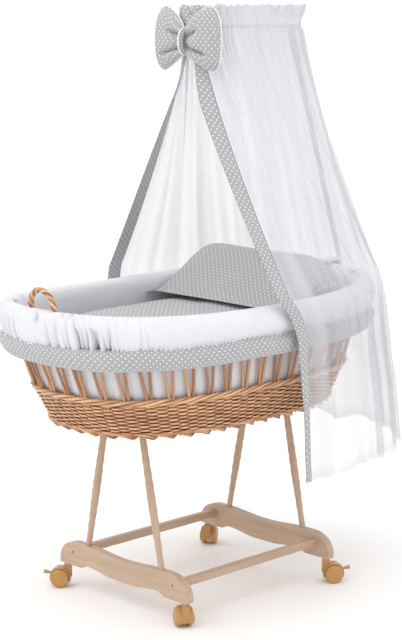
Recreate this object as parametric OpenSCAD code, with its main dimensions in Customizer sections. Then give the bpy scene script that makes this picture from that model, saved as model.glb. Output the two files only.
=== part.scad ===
// Baby cradle: a wicker basket on a wheeled beech stand, with bedding and a draped canopy.
// +X points to the head end, +Y to the left side, and Z is 0 on the floor under the stand's centre.

/* [Stand] */
// Distance between the outer faces of the two end rails
stand_len = 454; // [420:1:480]
// Length of an end rail
rail_len = 410; // [390:1:440]
// Thickness of an end rail
rail_thk = 18; // [16:1:22]
// Height of the screws that hold the stretchers
screw_z = 88; // [84:1:92]
// Distance from the middle of the stand to a stretcher's axis
stretcher_y = 160.5; // [155:0.5:165]
// Side of a stretcher's square section
stretcher_side = 18; // [14:1:20]
// Distance from the middle to a leg's foot
leg_foot_y = 118; // [110:1:122]
// Lean of a leg towards the middle, in degrees
leg_lean = 11.7; // [9:0.1:13]
// Height of the bearers that carry the basket
bearer_z = 395; // [385:1:400]
// Height of a bearer
bearer_thk = 20; // [16:1:22]

/* [Castors] */
// Diameter of a castor wheel
wheel_d = 42; // [38:1:46]
// Width of one wheel
wheel_w = 11.5; // [9:0.5:12]
// Distance between the two wheels of a castor
wheel_gap = 15; // [14.5:0.5:18]
// Distance from the swivel axis to the wheel axis
trail = 17.5; // [14:0.5:20]
// Distance from the middle of the stand to a castor stem
castor_y = 190; // [184:1:194]

/* [Basket] */
// Shift of the basket from the stand's centre, towards the head end
basket_x = -12; // [-20:1:20]
// Half length of the wall at its foot
foot_a = 330; // [320:1:340]
// Half width of the wall at its foot
foot_b = 208; // [200:1:215]
// Half length of the wall at the top of the weave
weave_a = 378; // [370:1:390]
// Half width of the wall at the top of the weave
weave_b = 230; // [225:1:240]
// Half length of the wall at the rim
rim_a = 438; // [430:1:445]
// Half width of the wall at the rim
rim_b = 250; // [245:1:260]
// Height of the basket's lowest edge
foot_z = 408; // [400:1:412]
// Height of the top of the weave
weave_z = 493; // [480:1:505]
// Height of the middle of the rim
rim_z = 650; // [640:1:660]
// Rise of the rim towards both ends
rim_rise = 12; // [0:1:20]
// Number of stake pairs round the wall
stake_pairs = 44; // [36:1:48]
// Diameter of a stake
stake_d = 5.5; // [4:0.5:6.5]
// Exponent of the plan outline, 2 for an ellipse
outline_n = 2.7; // [2:0.1:3.5]

/* [Bedding] */
// Top of the mattress
mattress_top = 496; // [480:1:520]
// Top of the quilt
quilt_top = 617; // [600:1:622]
// Middle of the pillow, along the basket
pillow_x = 188; // [180:1:195]
// Top of the pillow
pillow_top = 742; // [720:1:760]

/* [Canopy] */
// Middle of the hoop, along the basket
hoop_x = 143; // [135:1:150]
// Half length of the hoop
hoop_a = 146; // [138:1:152]
// Half width of the hoop
hoop_b = 80; // [72:1:90]
// Height of the hoop
hoop_z = 1235; // [1200:1:1260]
// Height of the ruffle above the hoop
ruffle_h = 43; // [30:1:50]
// Diameter of the canopy pole
pole_d = 12; // [10:1:14]
// Distance of the pole from the stand's centre
pole_x = 460; // [458:0.5:462]
// Height of the veil's hem
hem_z = 290; // [260:5:330]
// Width of the bands on the veil's front edges
band_w = 37; // [30:1:42]

/* [Hidden] */
$fn = 48;

// Running clearance between a pin and its hole, on the radius
fit = 0.05;
// Air between soft pieces that lie on each other
air = 0.6;
// Corners of a plan outline
ring_n = 72;

// Stand
rail_x = stand_len / 2 - rail_thk / 2;
rail_half = rail_len / 2;
pad_drop = 31.5;
pad_z = screw_z - pad_drop;
tenon_d = 10;
tenon_l = 20;
leg_len = (bearer_z - screw_z - 23) / cos(leg_lean);

// Castors
axle_z = wheel_d / 2;
stem_d = 8;
socket_d = 12;
socket_len = 34;
axle_d = 5;
lever_pin_d = 3;
lever_t = trail + 16;
lever_z = axle_z + 9;
lever_w = 7;
lever_tilt = 12;

// Canopy clamp: a bracket over the rim, at the head end
clamp_in = 380;
clamp_out = 447;
clamp_top = 689;
clamp_low = 628;
clamp_plate = 4;
clamp_w = 30;
clamp_screw_z = 652;
clamp_screw_d = 6;
pole_socket_d = pole_d + 4;
pole_bend_z = 704;
hoop_d = 6;

// Plan outline of the basket: a superellipse, at angle t round it
function power(v, p) = sign(v) * pow(abs(v), p);
function outline(a, b, t, n = outline_n) = [a * power(cos(t), 2 / n), b * power(sin(t), 2 / n)];

// Half length and half width of the wall at height z
function blend(p, q, t) = p + (q - p) * t;
function wall(z) = z < weave_z
    ? blend([foot_a, foot_b], [weave_a, weave_b], (z - foot_z) / (weave_z - foot_z))
    : blend([weave_a, weave_b], [rim_a, rim_b], (z - weave_z) / (rim_z - weave_z));

// One corner of a ring at offset [da, db] from the wall, at height z, rising towards the ends
function ring_corner(s, t) =
    let (w = wall(s[2]), p = outline(w[0] + s[0], w[1] + s[1], t))
    [basket_x + p[0], p[1], s[2] + s[3] * pow(p[0] / (w[0] + s[0]), 2)];

// A closed ring round the basket: section is a loop of [da, db, z, rise]
module wall_ring(section) {
    m = len(section);
    points = [for (i = [0:ring_n - 1], s = section) ring_corner(s, 360 * i / ring_n)];
    faces = [for (i = [0:ring_n - 1], j = [0:m - 1])
        let (k = (i + 1) % ring_n, l = (j + 1) % m)
        each [[i * m + j, i * m + l, k * m + l], [i * m + j, k * m + l, k * m + j]]];
    polyhedron(points, faces);
}

// A round rod laid round the basket at height z, at offset d from the wall
function round_section(d, z, r, rise) =
    [for (k = [0:7]) [d + r * cos(45 * k), d + r * cos(45 * k), z + r * sin(45 * k), rise]];

// A closed cushion: levels are [half length, half width, z], its middle at [x, 0]
module cushion(x, levels, n, sides) {
    m = len(levels);
    points = [for (s = levels, i = [0:sides - 1])
        let (p = outline(s[0], s[1], 360 * i / sides, n)) [x + p[0], p[1], s[2]]];
    side = [for (j = [0:m - 2], i = [0:sides - 1])
        let (k = (i + 1) % sides)
        each [[j * sides + i, (j + 1) * sides + i, (j + 1) * sides + k],
              [j * sides + i, (j + 1) * sides + k, j * sides + k]]];
    bottom = [for (i = [0:sides - 1]) i];
    top = [for (i = [sides - 1:-1:0]) (m - 1) * sides + i];
    polyhedron(points, concat(side, [bottom, top]));
}

// Outline of an end rail, from the middle outwards: height of its top and bottom at distance y
function ease(t) = (1 - cos(180 * min(max(t, 0), 1))) / 2;
function rail_top(y) = 16 + 7.5 * ease(y / 130);
function rail_bottom(y) = -pad_drop + 8.5 * (ease((y - 25) / 87) - ease((y - 112) / 24));
nose_y = 150;
nose_z = -20;
function rail_half_outline() = concat(
    [for (y = [0:10:nose_y - 10]) [y, rail_top(y)]],
    [for (t = [90:-10:0])
        [nose_y + (rail_half - nose_y) * cos(t), nose_z + (rail_top(nose_y) - nose_z) * sin(t)]],
    [[rail_half, -pad_drop + 3], [rail_half - 3, -pad_drop]],
    [for (y = [140:-6:2]) [y, rail_bottom(y)]]);

// An end rail in the YZ plane, side is -1 at the foot end and 1 at the head end
module end_rail(side) {
    half = rail_half_outline();
    m = len(half);
    profile = concat(half, [for (i = [m - 1:-1:1]) [-half[i][0], half[i][1]]]);
    difference() {
        translate([side * rail_x - rail_thk / 2, 0, screw_z]) rotate([90, 0, 90])
            linear_extrude(rail_thk) polygon(profile);
        for (s = [-1, 1]) {
            rail_leg_hole(side, s);
            translate([side * rail_x, s * stretcher_y, screw_z]) rotate([0, side * 90, 0]) screw_hole();
            translate([side * rail_x, s * castor_y, pad_z - 1])
                cylinder(d = socket_d, h = socket_len + 1);
        }
    }
}

module screw_hole() {
    translate([0, 0, -rail_thk]) cylinder(d = 5, h = 2 * rail_thk);
    translate([0, 0, rail_thk / 2 - 5]) cylinder(d = 7, h = 6);
}

// Places its children on a leg's axis, with Z up along the leg from its shoulder
module on_leg(side, s) {
    translate([side * rail_x, s * leg_foot_y, screw_z + 21.5]) rotate([s * leg_lean, 0, 0]) children();
}

module rail_leg_hole(side, s) {
    on_leg(side, s) {
        translate([0, 0, -tenon_l - 1]) cylinder(d = tenon_d, h = tenon_l + 10);
        cylinder(d = 13, h = 20);
    }
}

// A turned leg: slim at the foot, fullest below the middle, with a shallow wave along it
leg_taper = [[0, 6.4], [0.15, 6.6], [0.3, 7.8], [0.42, 8.6], [0.5, 8.8], [0.62, 8.4], [0.8, 7.7], [1, 7.2]];
leg_wave = 26;
leg_wave_depth = 0.5;
module leg(side, s) {
    top = leg_len + 1.5;
    fade = function (z) min(1, max(0, (z - 22) / 20), max(0, (top - 14 - z) / 20));
    radius = function (z) lookup(z / top, leg_taper) + leg_wave_depth * fade(z) * cos(360 * z / leg_wave);
    side_line = [for (z = [0:leg_wave / 4:top - 2]) [radius(z), z]];
    on_leg(side, s) rotate_extrude()
        polygon(concat([[0, -tenon_l], [tenon_d / 2, -tenon_l], [tenon_d / 2, 0]], side_line,
            [[7.2, top], [tenon_d / 2, top], [tenon_d / 2, top + 12], [0, top + 12]]));
}

// A stretcher with rounded edges, s is 1 on the left
module stretcher(s) {
    len_x = stand_len - 2 * rail_thk;
    edge = 4;
    core = stretcher_side / 2 - edge;
    difference() {
        translate([-len_x / 2, s * stretcher_y, screw_z]) rotate([90, 0, 90]) linear_extrude(len_x) {
            square([stretcher_side, 2 * core], center = true);
            square([2 * core, stretcher_side], center = true);
            for (u = [-1, 1], v = [-1, 1]) translate([u * core, v * core]) circle(r = edge);
        }
        for (e = [-1, 1]) translate([e * (len_x / 2 - 33), s * stretcher_y, screw_z])
            rotate([0, e * 90, 0]) cylinder(d = 5, h = 40);
    }
}

module rail_screw() {
    difference() {
        union() {
            translate([0, 0, -33]) cylinder(d = 5, h = 34);
            translate([0, 0, -0.5]) cylinder(d = 6.8, h = 4);
        }
        translate([0, 0, 1]) cylinder(d = 3.4, h = 4, $fn = 6);
    }
}

// A bearer across the stand, under the basket
module bearer(side) {
    difference() {
        translate([side * rail_x, 0, bearer_z]) linear_extrude(bearer_thk) {
            square([34, 160], center = true);
            for (s = [-1, 1]) translate([0, s * 80]) circle(d = 34);
        }
        for (s = [-1, 1]) {
            on_leg(side, s) translate([0, 0, leg_len - 3]) cylinder(d = tenon_d, h = 16.5);
            on_leg(side, s) translate([0, 0, leg_len - 8.5]) cylinder(d = 14.6, h = 10);
            translate([side * rail_x, s * 84, bearer_z]) {
                translate([0, 0, -1]) cylinder(d = 4, h = bearer_thk + 2);
                translate([0, 0, -1]) cylinder(d = 9, h = 5);
            }
        }
    }
}

// A countersunk wood screw, head down
module wood_screw() {
    translate([0, 0, 0.5]) cylinder(d1 = 8.6, d2 = 4, h = 3);
    cylinder(d = 8.6, h = 0.6);
    translate([0, 0, 3]) cylinder(d = 4, h = 23);
}

// Castor frame: origin on the floor under the stem, wheels trail towards +X
module castor_stem_shape() {
    translate([0, 0, 38]) cylinder(d = stem_d, h = 48);
    translate([0, 0, 53]) cylinder(d = 14, h = 2);
}

module castor_socket_shape() {
    difference() {
        translate([0, 0, pad_z]) cylinder(d = socket_d, h = socket_len);
        translate([0, 0, pad_z - 1]) cylinder(r = stem_d / 2 + fit, h = socket_len);
    }
}

hood_w = 14;
hood_r = wheel_d / 2 + 2.5;
// Side view of the hood: a disc over the wheels and a boss round the stem
module hood_side() {
    difference() {
        union() {
            translate([trail, axle_z]) circle(r = hood_r);
            translate([-9, 24]) square([18, 25]);
            translate([-5, 49]) square([10, 4]);
            for (u = [-1, 1]) translate([5 * u, 49]) circle(r = 4);
        }
        translate([-40, -10]) square([120, 23]);
    }
}

// The hood's front: a thin guard over both wheels, on the side that leads
guard_in = wheel_d / 2 + 1.2;
guard_out = wheel_d / 2 + 3.2;
module castor_guard() {
    full = wheel_gap / 2 + wheel_w;
    intersection() {
        translate([trail, 25, axle_z]) rotate([90, 0, 0]) linear_extrude(50) difference() {
            circle(r = guard_out);
            circle(r = guard_in);
            polygon([[0, 0], [50 * cos(72), 50 * sin(72)], [60, 60], [60, -60], [-60, -60],
                [50 * cos(200), 50 * sin(200)]]);
        }
        translate([-30, 0, 0]) rotate([90, 0, 90]) linear_extrude(80)
            polygon([for (e = [-1, 1]) each [for (k = e < 0 ? [0:6] : [6:-1:0])
                let (p = [[full - 2.5, 9], [full - 0.8, 15], [full, 22], [full - 0.8, 31], [full - 3.4, 39],
                    [full - 7.5, 46], [7.5, 54]][k]) [e * p[0], p[1]]]]);
    }
}

module castor_hood_shape(braked) {
    difference() {
        union() {
            translate([0, hood_w / 2, 0]) rotate([90, 0, 0]) linear_extrude(hood_w) hood_side();
            castor_guard();
        }
        translate([0, 0, 38]) cylinder(d = stem_d, h = 30);
        translate([trail, 0, axle_z]) rotate([90, 0, 0]) cylinder(d = axle_d, h = 40, center = true);
        if (braked) translate([lever_t, 0, lever_z]) {
            rotate([90, 0, 0]) cylinder(r = 6.5, h = lever_w + 1, center = true);
            translate([0, -lever_w / 2 - 0.5, -9]) cube([20, lever_w + 1, 22]);
        }
    }
    if (braked) translate([lever_t, 0, lever_z]) rotate([90, 0, 0])
        cylinder(d = lever_pin_d, h = lever_w + 2, center = true);
}

module castor_axle_shape() {
    translate([trail, 0, axle_z]) rotate([90, 0, 0])
        cylinder(d = axle_d, h = wheel_gap + 2 * wheel_w - 4, center = true);
}

// One wheel, s is 1 for the wheel on the castor's +Y side
module castor_wheel_shape(s) {
    r = wheel_d / 2;
    inner = wheel_gap / 2;
    outer = inner + wheel_w;
    bore = axle_d / 2 + fit;
    edge = 6;
    translate([trail, 0, axle_z]) rotate([-90 * s, 0, 0]) rotate_extrude() difference() {
        union() {
            translate([0, inner]) square([r - 1, wheel_w - edge]);
            translate([0, inner + 1]) square([r, wheel_w - edge - 1]);
            translate([0, inner]) square([r - edge, wheel_w]);
            translate([r - edge, outer - edge]) circle(r = edge);
        }
        translate([-1, inner - 1]) square([bore + 1, wheel_w - 0.5]);
    }
}

module castor_brake_shape() {
    translate([lever_t, 0, lever_z]) difference() {
        union() {
            rotate([90, 0, 0]) cylinder(r = 5.5, h = lever_w, center = true);
            rotate([0, -lever_tilt, 0]) translate([0, 0, -1.5]) linear_extrude(4)
                polygon([[2, -3], [11, -3], [11, -7], [21, -7], [21, 7], [11, 7], [11, 3], [2, 3]]);
        }
        rotate([90, 0, 0]) cylinder(r = lever_pin_d / 2 + fit, h = 20, center = true);
    }
}

// Puts a castor part at a corner, with its wheels trailing at the angle given
module at_castor(side, s, turn) {
    translate([side * rail_x, s * castor_y, 0]) rotate([0, 0, turn]) children();
}
turn_fl = 136;
turn_fr = 60;
turn_hl = 35;
turn_hr = -44;

module base_board() {
    w = wall(foot_z + 12) - [14.5, 14.5];
    color("burlywood") translate([basket_x, 0, bearer_z + bearer_thk]) difference() {
        linear_extrude(8) polygon([for (i = [0:ring_n - 1]) outline(w[0], w[1], 360 * i / ring_n)]);
        for (x = [-rail_x, rail_x], y = [-84, 84]) translate([x - basket_x, y, -1]) cylinder(d = 4, h = 8);
    }
}

module foot_border() {
    color("peru") wall_ring(round_section(-4, foot_z + 7, 7, 0));
}

module weave_wall() {
    low = foot_z + 14.5;
    top = weave_z - 5;
    color("peru") wall_ring([[-8, -8, low, 0], [0, 0, low, 0], [0, 0, top, 0], [-8, -8, top, 0]]);
}

module waling() {
    color("peru") wall_ring(round_section(-3, weave_z, 5, 0));
}

// A stake from angle t at the weave to angle u at the rim
module stake(t, u) {
    low = ring_corner([-4, -4, weave_z - 12, 0], t);
    high = ring_corner([-4, -4, rim_z - 8, 0], u);
    d = high - low;
    translate(low) rotate([0, acos(d[2] / norm(d)), atan2(d[1], d[0])])
        cylinder(d = stake_d, h = norm(d), $fn = 16);
}

// Length along the outline at the top of the weave, and the angle at a share of it
function weave_point(t) = outline(weave_a, weave_b, t);
arc_len = [for (i = 0, s = 0; i <= 360; s = s + norm(weave_point(i + 1) - weave_point(i)), i = i + 1) s];
arc_angle = [for (i = [0:360]) [arc_len[i], i]];
function spaced(share) =
    let (turn = floor(share)) 360 * turn + lookup((share - turn) * arc_len[360], arc_angle);

// Stakes stand in pairs that touch at the weave and spread to the rim
module stakes() {
    close = 0.075;
    splay = 0.2;
    color("peru") for (k = [0:stake_pairs - 1], e = [-1, 1])
        stake(spaced((k + 0.5 + e * close) / stake_pairs), spaced((k + 0.5 + e * splay) / stake_pairs));
}

module rim_border() {
    color("peru") wall_ring(round_section(-4, rim_z, 10, rim_rise));
}

// The carrying handle: two posts and an arch, at the foot end of the rim
handle_r = 36;
handle_d = 12;
module on_handle() {
    translate([basket_x - rim_a + 2, -20, rim_z + 37]) rotate([0, -8, 0]) children();
}
module handle() {
    color("peru") on_handle() rotate([90, 0, 90]) {
        rotate_extrude(angle = 180) translate([handle_r, 0]) circle(d = handle_d);
        for (e = [-1, 1]) translate([e * handle_r, 0, 0]) rotate([90, 0, 0])
            cylinder(d = handle_d, h = 34);
    }
}

module mattress() {
    low = bearer_z + bearer_thk + 8 + air;
    levels = [for (level = [[low, 27], [low + 11, 19], [mattress_top - 12, 18], [mattress_top, 28]])
        let (w = wall(level[0])) [w[0] - level[1], w[1] - level[1], level[0]]];
    color("white") cushion(basket_x, levels, outline_n, 48);
}

module liner() {
    low = bearer_z + bearer_thk + 9;
    color("white") wall_ring([[-10, -10, low, 0], [-10, -10, weave_z, 0], [-10, -10, rim_z - 18, 0],
        [-17, -17, rim_z - 8, 10], [-17, -17, rim_z + 4, 12], [-21, -21, rim_z + 4, 12],
        [-21, -21, rim_z - 10, 10], [-15, -15, rim_z - 24, 0], [-15, -15, weave_z, 0], [-15, -15, low, 0]]);
}

// The gathered cover: over the rim and down its outside
cover_rise = 15;
module rim_cover() {
    r = cover_rise;
    color("white") difference() {
        wall_ring([[-24, -24, rim_z + 7, r], [-17, -17, rim_z + 15, r], [-4, -4, rim_z + 18, r],
            [10, 14, rim_z + 12, r], [19, 28, rim_z - 6, r * 0.6], [21, 31, rim_z - 20, r * 0.3],
            [20, 27, rim_z - 36, 0], [15, 21, rim_z - 36, 0], [16, 26, rim_z - 20, r * 0.3],
            [14, 22, rim_z - 7, r * 0.6], [6, 9, rim_z + 8, r], [-4, -4, rim_z + 12, r],
            [-15, -15, rim_z + 10.5, r], [-20, -20, rim_z + 6, r]]);
        for (e = [-1, 1]) on_handle()
            translate([0, e * handle_r, -36]) cylinder(d = handle_d + 2, h = 60);
    }
}

module dotted_band() {
    color("lightgray") wall_ring([[10, 13, rim_z - 80, 0], [22, 28, rim_z - 83, 0], [29, 36, rim_z - 73, 0],
        [31, 39, rim_z - 60, 0], [28, 35, rim_z - 46, 0], [20, 26, rim_z - 38, 0], [10, 13, rim_z - 38, 0]]);
}

module quilt() {
    w = wall(mattress_top + 40) - [20, 20];
    color("gainsboro") cushion(basket_x, [[w[0] - 25, w[1] - 20, mattress_top + air],
        [w[0] - 4, w[1] - 4, mattress_top + 25], [w[0], w[1], quilt_top - 30],
        [w[0] - 12, w[1] - 10, quilt_top - 8], [w[0] - 45, w[1] - 35, quilt_top]], outline_n, 48);
}

module pillow() {
    low = quilt_top + air;
    color("gainsboro") cushion(pillow_x, [[110, 165, low], [142, 198, low + 14], [150, 205, low + 38],
        [132, 185, pillow_top - 36], [96, 145, pillow_top - 12], [50, 85, pillow_top]], 3, 40);
}

// A snap button on the cover's shoulder, below the handle
button_d = 16;
button_tilt = 28;
module snap_button() {
    color("white") translate([basket_x - rim_a - 18, -18, rim_z + 20.5]) rotate([0, button_tilt - 90, 0]) {
        cylinder(d = button_d, h = 2.4);
        cylinder(d = button_d - 6, h = 4);
    }
}

// Canopy clamp
module clamp_bracket() {
    outer = clamp_out + clamp_plate;
    color("white") difference() {
        union() {
            translate([clamp_in, -clamp_w / 2, clamp_top]) cube([outer - clamp_in, clamp_w, clamp_plate]);
            translate([clamp_in, -clamp_w / 2, clamp_screw_z - 13])
                cube([clamp_plate, clamp_w, clamp_top - clamp_screw_z + 14]);
            translate([clamp_out, -clamp_w / 2, clamp_low])
                cube([clamp_plate, clamp_w, clamp_top - clamp_low + 1]);
            translate([clamp_in + 3, 0, clamp_screw_z]) rotate([0, 90, 0]) cylinder(d = 14, h = 5);
            translate([pole_x, 0, clamp_low]) cylinder(d = pole_socket_d + 5, h = 61);
        }
        translate([clamp_in - 1, 0, clamp_screw_z]) rotate([0, 90, 0])
            cylinder(r = clamp_screw_d / 2 + fit, h = 12);
        translate([pole_x, 0, clamp_low + 6]) cylinder(d = pole_socket_d, h = 80);
    }
}

module clamp_pad() {
    color("dimgray") translate([clamp_in + 16, 0, clamp_screw_z]) rotate([0, 90, 0]) difference() {
        cylinder(d = 18, h = 4.5);
        translate([0, 0, -1]) cylinder(r = 2 + fit, h = 3.5);
    }
}

module clamp_screw() {
    lobe = 9;
    color("white") translate([clamp_in + 15.5, 0, clamp_screw_z]) rotate([0, -90, 0]) {
        translate([0, 0, -2.5]) cylinder(d = 4, h = 3);
        cylinder(d = clamp_screw_d, h = 26);
        translate([0, 0, 22]) linear_extrude(10) {
            circle(r = lobe);
            for (k = [0:4]) rotate(72 * k) translate([lobe, 0]) circle(r = 4.5);
        }
    }
}

// Pole: a straight lower tube, and an upper tube that leans in to the back of the hoop
hoop_back = hoop_x + hoop_a - 4;
pole_lean = atan((pole_x - hoop_back) / (hoop_z - pole_bend_z));
bend_r = 60;
bend_drop = bend_r * tan(pole_lean / 2);
pole_straight = (hoop_z - pole_bend_z) / cos(pole_lean) - bend_drop - 6;
module pole_lower() {
    color("white") difference() {
        translate([pole_x, 0, clamp_low + 6]) cylinder(d = pole_socket_d, h = 54);
        translate([pole_x, 0, rim_z + 2]) cylinder(d = pole_d, h = 60);
    }
}

// Places its children on the pole's leaning part, with Z up along it from the bend's end
module on_pole() {
    translate([pole_x - bend_drop * sin(pole_lean), 0, pole_bend_z + bend_drop * cos(pole_lean)])
        rotate([0, -pole_lean, 0]) children();
}

// The upper tube is a row of rings along its centre line: up the straight part, round the bend, up the
// leaning part, and back down inside the bore for the hoop's pin. It slips into the lower tube.
pole_sides = 16;
pole_r = pole_d / 2 - 0.05;
bend_steps = 6;
bore_depth = 28;
function pole_ring(x, z, lean, r) = [for (k = [0:pole_sides - 1])
    let (turn = 360 * k / pole_sides, across = r * cos(turn))
    [x + across * cos(lean), r * sin(turn), z + across * sin(lean)]];
function leaning_ring(up, r) = let (rise = bend_drop + up)
    pole_ring(pole_x - rise * sin(pole_lean), pole_bend_z + rise * cos(pole_lean), pole_lean, r);
module pole_upper() {
    bore_r = hoop_d / 2 / cos(180 / pole_sides);
    rings = concat(
        [pole_ring(pole_x, rim_z + 2, 0, pole_r)],
        [for (i = [0:bend_steps])
            let (lean = pole_lean * i / bend_steps, rise = bend_r * sin(lean) - bend_drop)
            pole_ring(pole_x - bend_r * (1 - cos(lean)), pole_bend_z + rise, lean, pole_r)],
        [leaning_ring(pole_straight, pole_r)],
        [leaning_ring(pole_straight, bore_r)],
        [leaning_ring(pole_straight - bore_depth, bore_r)]);
    last = (len(rings) - 1) * pole_sides;
    sides = [for (i = [0:len(rings) - 2], k = [0:pole_sides - 1])
        let (l = (k + 1) % pole_sides, low = i * pole_sides, high = low + pole_sides)
        each [[low + k, high + k, high + l], [low + k, high + l, low + l]]];
    foot = [for (k = [1:pole_sides - 2]) [0, k, k + 1]];
    bottom = [for (k = [1:pole_sides - 2]) [last, last + k + 1, last + k]];
    color("white") polyhedron([for (ring = rings) each ring], concat(sides, foot, bottom));
}

// Hoop: a closed oval wire on a pin that plugs into the pole
module hoop() {
    steps = 48;
    points = [for (i = [0:steps - 1], k = [0:7])
        let (t = 360 * i / steps, r = hoop_d / 2 * cos(45 * k))
        [hoop_x + (hoop_a + r) * cos(t), (hoop_b + r) * sin(t), hoop_z + hoop_d / 2 * sin(45 * k)]];
    faces = [for (i = [0:steps - 1], k = [0:7])
        let (j = (i + 1) % steps, l = (k + 1) % 8)
        each [[i * 8 + k, i * 8 + l, j * 8 + l], [i * 8 + k, j * 8 + l, j * 8 + k]]];
    color("white") {
        polyhedron(points, faces);
        on_pole() translate([0, 0, pole_straight - bore_depth]) cylinder(d = hoop_d, h = 34);
    }
}

// Veil: gathered on the hoop, spread over the rim, and hanging to the hem.
// t runs from -1 at the right front edge, round the head end, to 1 at the left front edge.
veil_cols = 48;
veil_thk = 1.6;
veil_top_angle = 167;
// Angle of the right front edge below the rim, by height; the left one hangs straight, a little further back
veil_right_angle = [[600, 86.4], [640, 87.6], [670, 89], [690, 90]];
veil_left_angle = 86.6;
veil_a = 494;
veil_b = 294;
veil_rim_z = 690;
veil_n = 2.35;
// How far the veil stands out further at the head end than at the sides, by height
veil_flare = [[290, 40], [420, 32], [500, 22], [600, 9], [690, 0]];
function veil_ring(t, grow, z) =
    let (p = outline(hoop_a + grow, hoop_b + grow, t * veil_top_angle, 2)) [hoop_x + p[0], p[1], z];
function veil_hang(t, grow, z) =
    let (edge = t > 0 ? veil_left_angle : lookup(z, veil_right_angle),
        p = outline(veil_a + grow + lookup(z, veil_flare), veil_b + grow, t * edge, veil_n))
    [basket_x + p[0], p[1], z];
// A point part of the way down from the hoop to the rim: straight where the cloth lies on the pole at t = 0,
// and away from it steep at first and then spreading
function veil_slope(t, top, low, s) =
    let (p = blend(top, low, pow(s, 1 + 0.25 * min(1, abs(t) / 0.3))))
    [p[0], p[1], top[2] + (low[2] - top[2]) * s];
// Rows from the ruffle to the hem, each a function of t and of an inset into the cloth
veil_rows = [
    function (t, c) veil_ring(t, 15 - c, hoop_z + ruffle_h),
    function (t, c) veil_ring(t, 9 - c, hoop_z + 14),
    function (t, c) veil_ring(t, 7 - c, hoop_z),
    for (s = [0.2:0.2:0.8])
        function (t, c) veil_slope(t, veil_ring(t, 11 - c, hoop_z), veil_hang(t, -8 - c, veil_rim_z), s),
    function (t, c) veil_hang(t, -8 - c, veil_rim_z),
    function (t, c) veil_hang(t, -c, 640),
    function (t, c) veil_hang(t, 1 - c, 600),
    function (t, c) veil_hang(t, 4 - c, 500),
    function (t, c) veil_hang(t, 12 - c, hem_z)];

// A thin closed sheet between an outer and an inner grid of points, rows by cols
module sheet(outer, inner, rows, cols) {
    m = rows * cols;
    quad = function (a, b, c, d) [[a, b, c], [a, c, d]];
    skin = [for (i = [0:rows - 2], j = [0:cols - 2])
        let (a = i * cols + j, b = a + 1, c = b + cols, d = a + cols)
        each concat(quad(a, b, c, d), quad(m + a, m + d, m + c, m + b))];
    ends = [for (j = [0:cols - 2]) let (a = j, b = j + 1, c = (rows - 1) * cols + j)
        each concat(quad(b, a, m + a, m + b), quad(c, c + 1, m + c + 1, m + c))];
    edges = [for (i = [0:rows - 2]) let (a = i * cols, b = a + cols, c = a + cols - 1, d = b + cols - 1)
        each concat(quad(a, b, m + b, m + a), quad(d, c, m + c, m + d))];
    polyhedron(concat(outer, inner), concat(skin, ends, edges));
}

module veil() {
    grid = function (inset) [for (row = veil_rows, j = [0:veil_cols]) row(1 - 2 * j / veil_cols, inset)];
    color("whitesmoke") sheet(grid(0), grid(veil_thk), len(veil_rows), veil_cols + 1);
}

// A band along one front edge of the veil, gathered at the hoop, side is 1 on the left
module veil_band(side) {
    gap = 0.5;
    line = function (row, inset)
        let (p = row(side, inset), q = row(side * 0.96, inset), u = (p - q) / norm(p - q),
            w = band_w * (1 - 0.6 * min(1, max(0, (p[2] - 1080) / 150))))
        [for (k = [0:2]) p + u * (gap + w * k / 2)];
    outer = [for (row = veil_rows) each line(row, 0)];
    inner = [for (row = veil_rows) each line(row, 2.4)];
    color("lightgray") if (side > 0) sheet(inner, outer, len(veil_rows), 3);
    else sheet(outer, inner, len(veil_rows), 3);
}

// Bow: two puffed wings and a knot, across the front of the hoop
bow_w = 190;
bow_h = 136;
bow_x = hoop_x - hoop_a - 47;
bow_z = 1204;
module bow() {
    sides = 16;
    cuts = 20;
    spread = function (v) 0.34 + 0.66 * pow(sin(90 * min(1, max(0, (v - 0.12) / 0.7))), 0.9);
    round_end = function (v) 1 - 2.2 * max(0, v - 0.86);
    half_h = function (v) v < 0.12 ? 13 + 40 * v : bow_h / 2 * spread(v) * round_end(v);
    half_t = function (v) v < 0.12 ? 13 : 7 + 7 * sin(180 * min(1, (v - 0.08) / 0.92));
    points = [for (i = [0:cuts], k = [0:sides - 1])
        let (v = 2 * i / cuts - 1, t = 360 * k / sides, p = outline(half_t(abs(v)), half_h(abs(v)), t, 2.3))
        [bow_x + p[0], v * bow_w / 2, bow_z + p[1]]];
    skin = [for (i = [0:cuts - 1], k = [0:sides - 1])
        let (l = (k + 1) % sides, a = i * sides + k, b = i * sides + l, c = b + sides, d = a + sides)
        each [[a, d, c], [a, c, b]]];
    low = [for (k = [0:sides - 1]) k];
    high = [for (k = [sides - 1:-1:0]) cuts * sides + k];
    color("lightgray") polyhedron(points, concat(skin, [low, high]));
}

module foot_rail() { color("burlywood") end_rail(-1); }
module head_rail() { color("burlywood") end_rail(1); }
module left_stretcher() { color("burlywood") stretcher(1); }
module right_stretcher() { color("burlywood") stretcher(-1); }
module rail_screws() {
    color("dimgray") for (side = [-1, 1], s = [-1, 1])
        translate([side * rail_x, s * stretcher_y, screw_z]) rotate([0, side * 90, 0])
            translate([0, 0, rail_thk / 2 - 4.5]) rail_screw();
}
module leg_foot_left() { color("burlywood") leg(-1, 1); }
module leg_foot_right() { color("burlywood") leg(-1, -1); }
module leg_head_left() { color("burlywood") leg(1, 1); }
module leg_head_right() { color("burlywood") leg(1, -1); }
module foot_bearer() { color("burlywood") bearer(-1); }
module head_bearer() { color("burlywood") bearer(1); }
module bearer_screws() {
    color("silver") for (side = [-1, 1], y = [-84, 84])
        translate([side * rail_x, y, bearer_z + 0.1]) wood_screw();
}
module castor_sockets() {
    color("silver") for (side = [-1, 1], s = [-1, 1])
        translate([side * rail_x, s * castor_y, 0]) castor_socket_shape();
}
module castor_stem(side, s, turn) { color("silver") at_castor(side, s, turn) castor_stem_shape(); }
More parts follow.
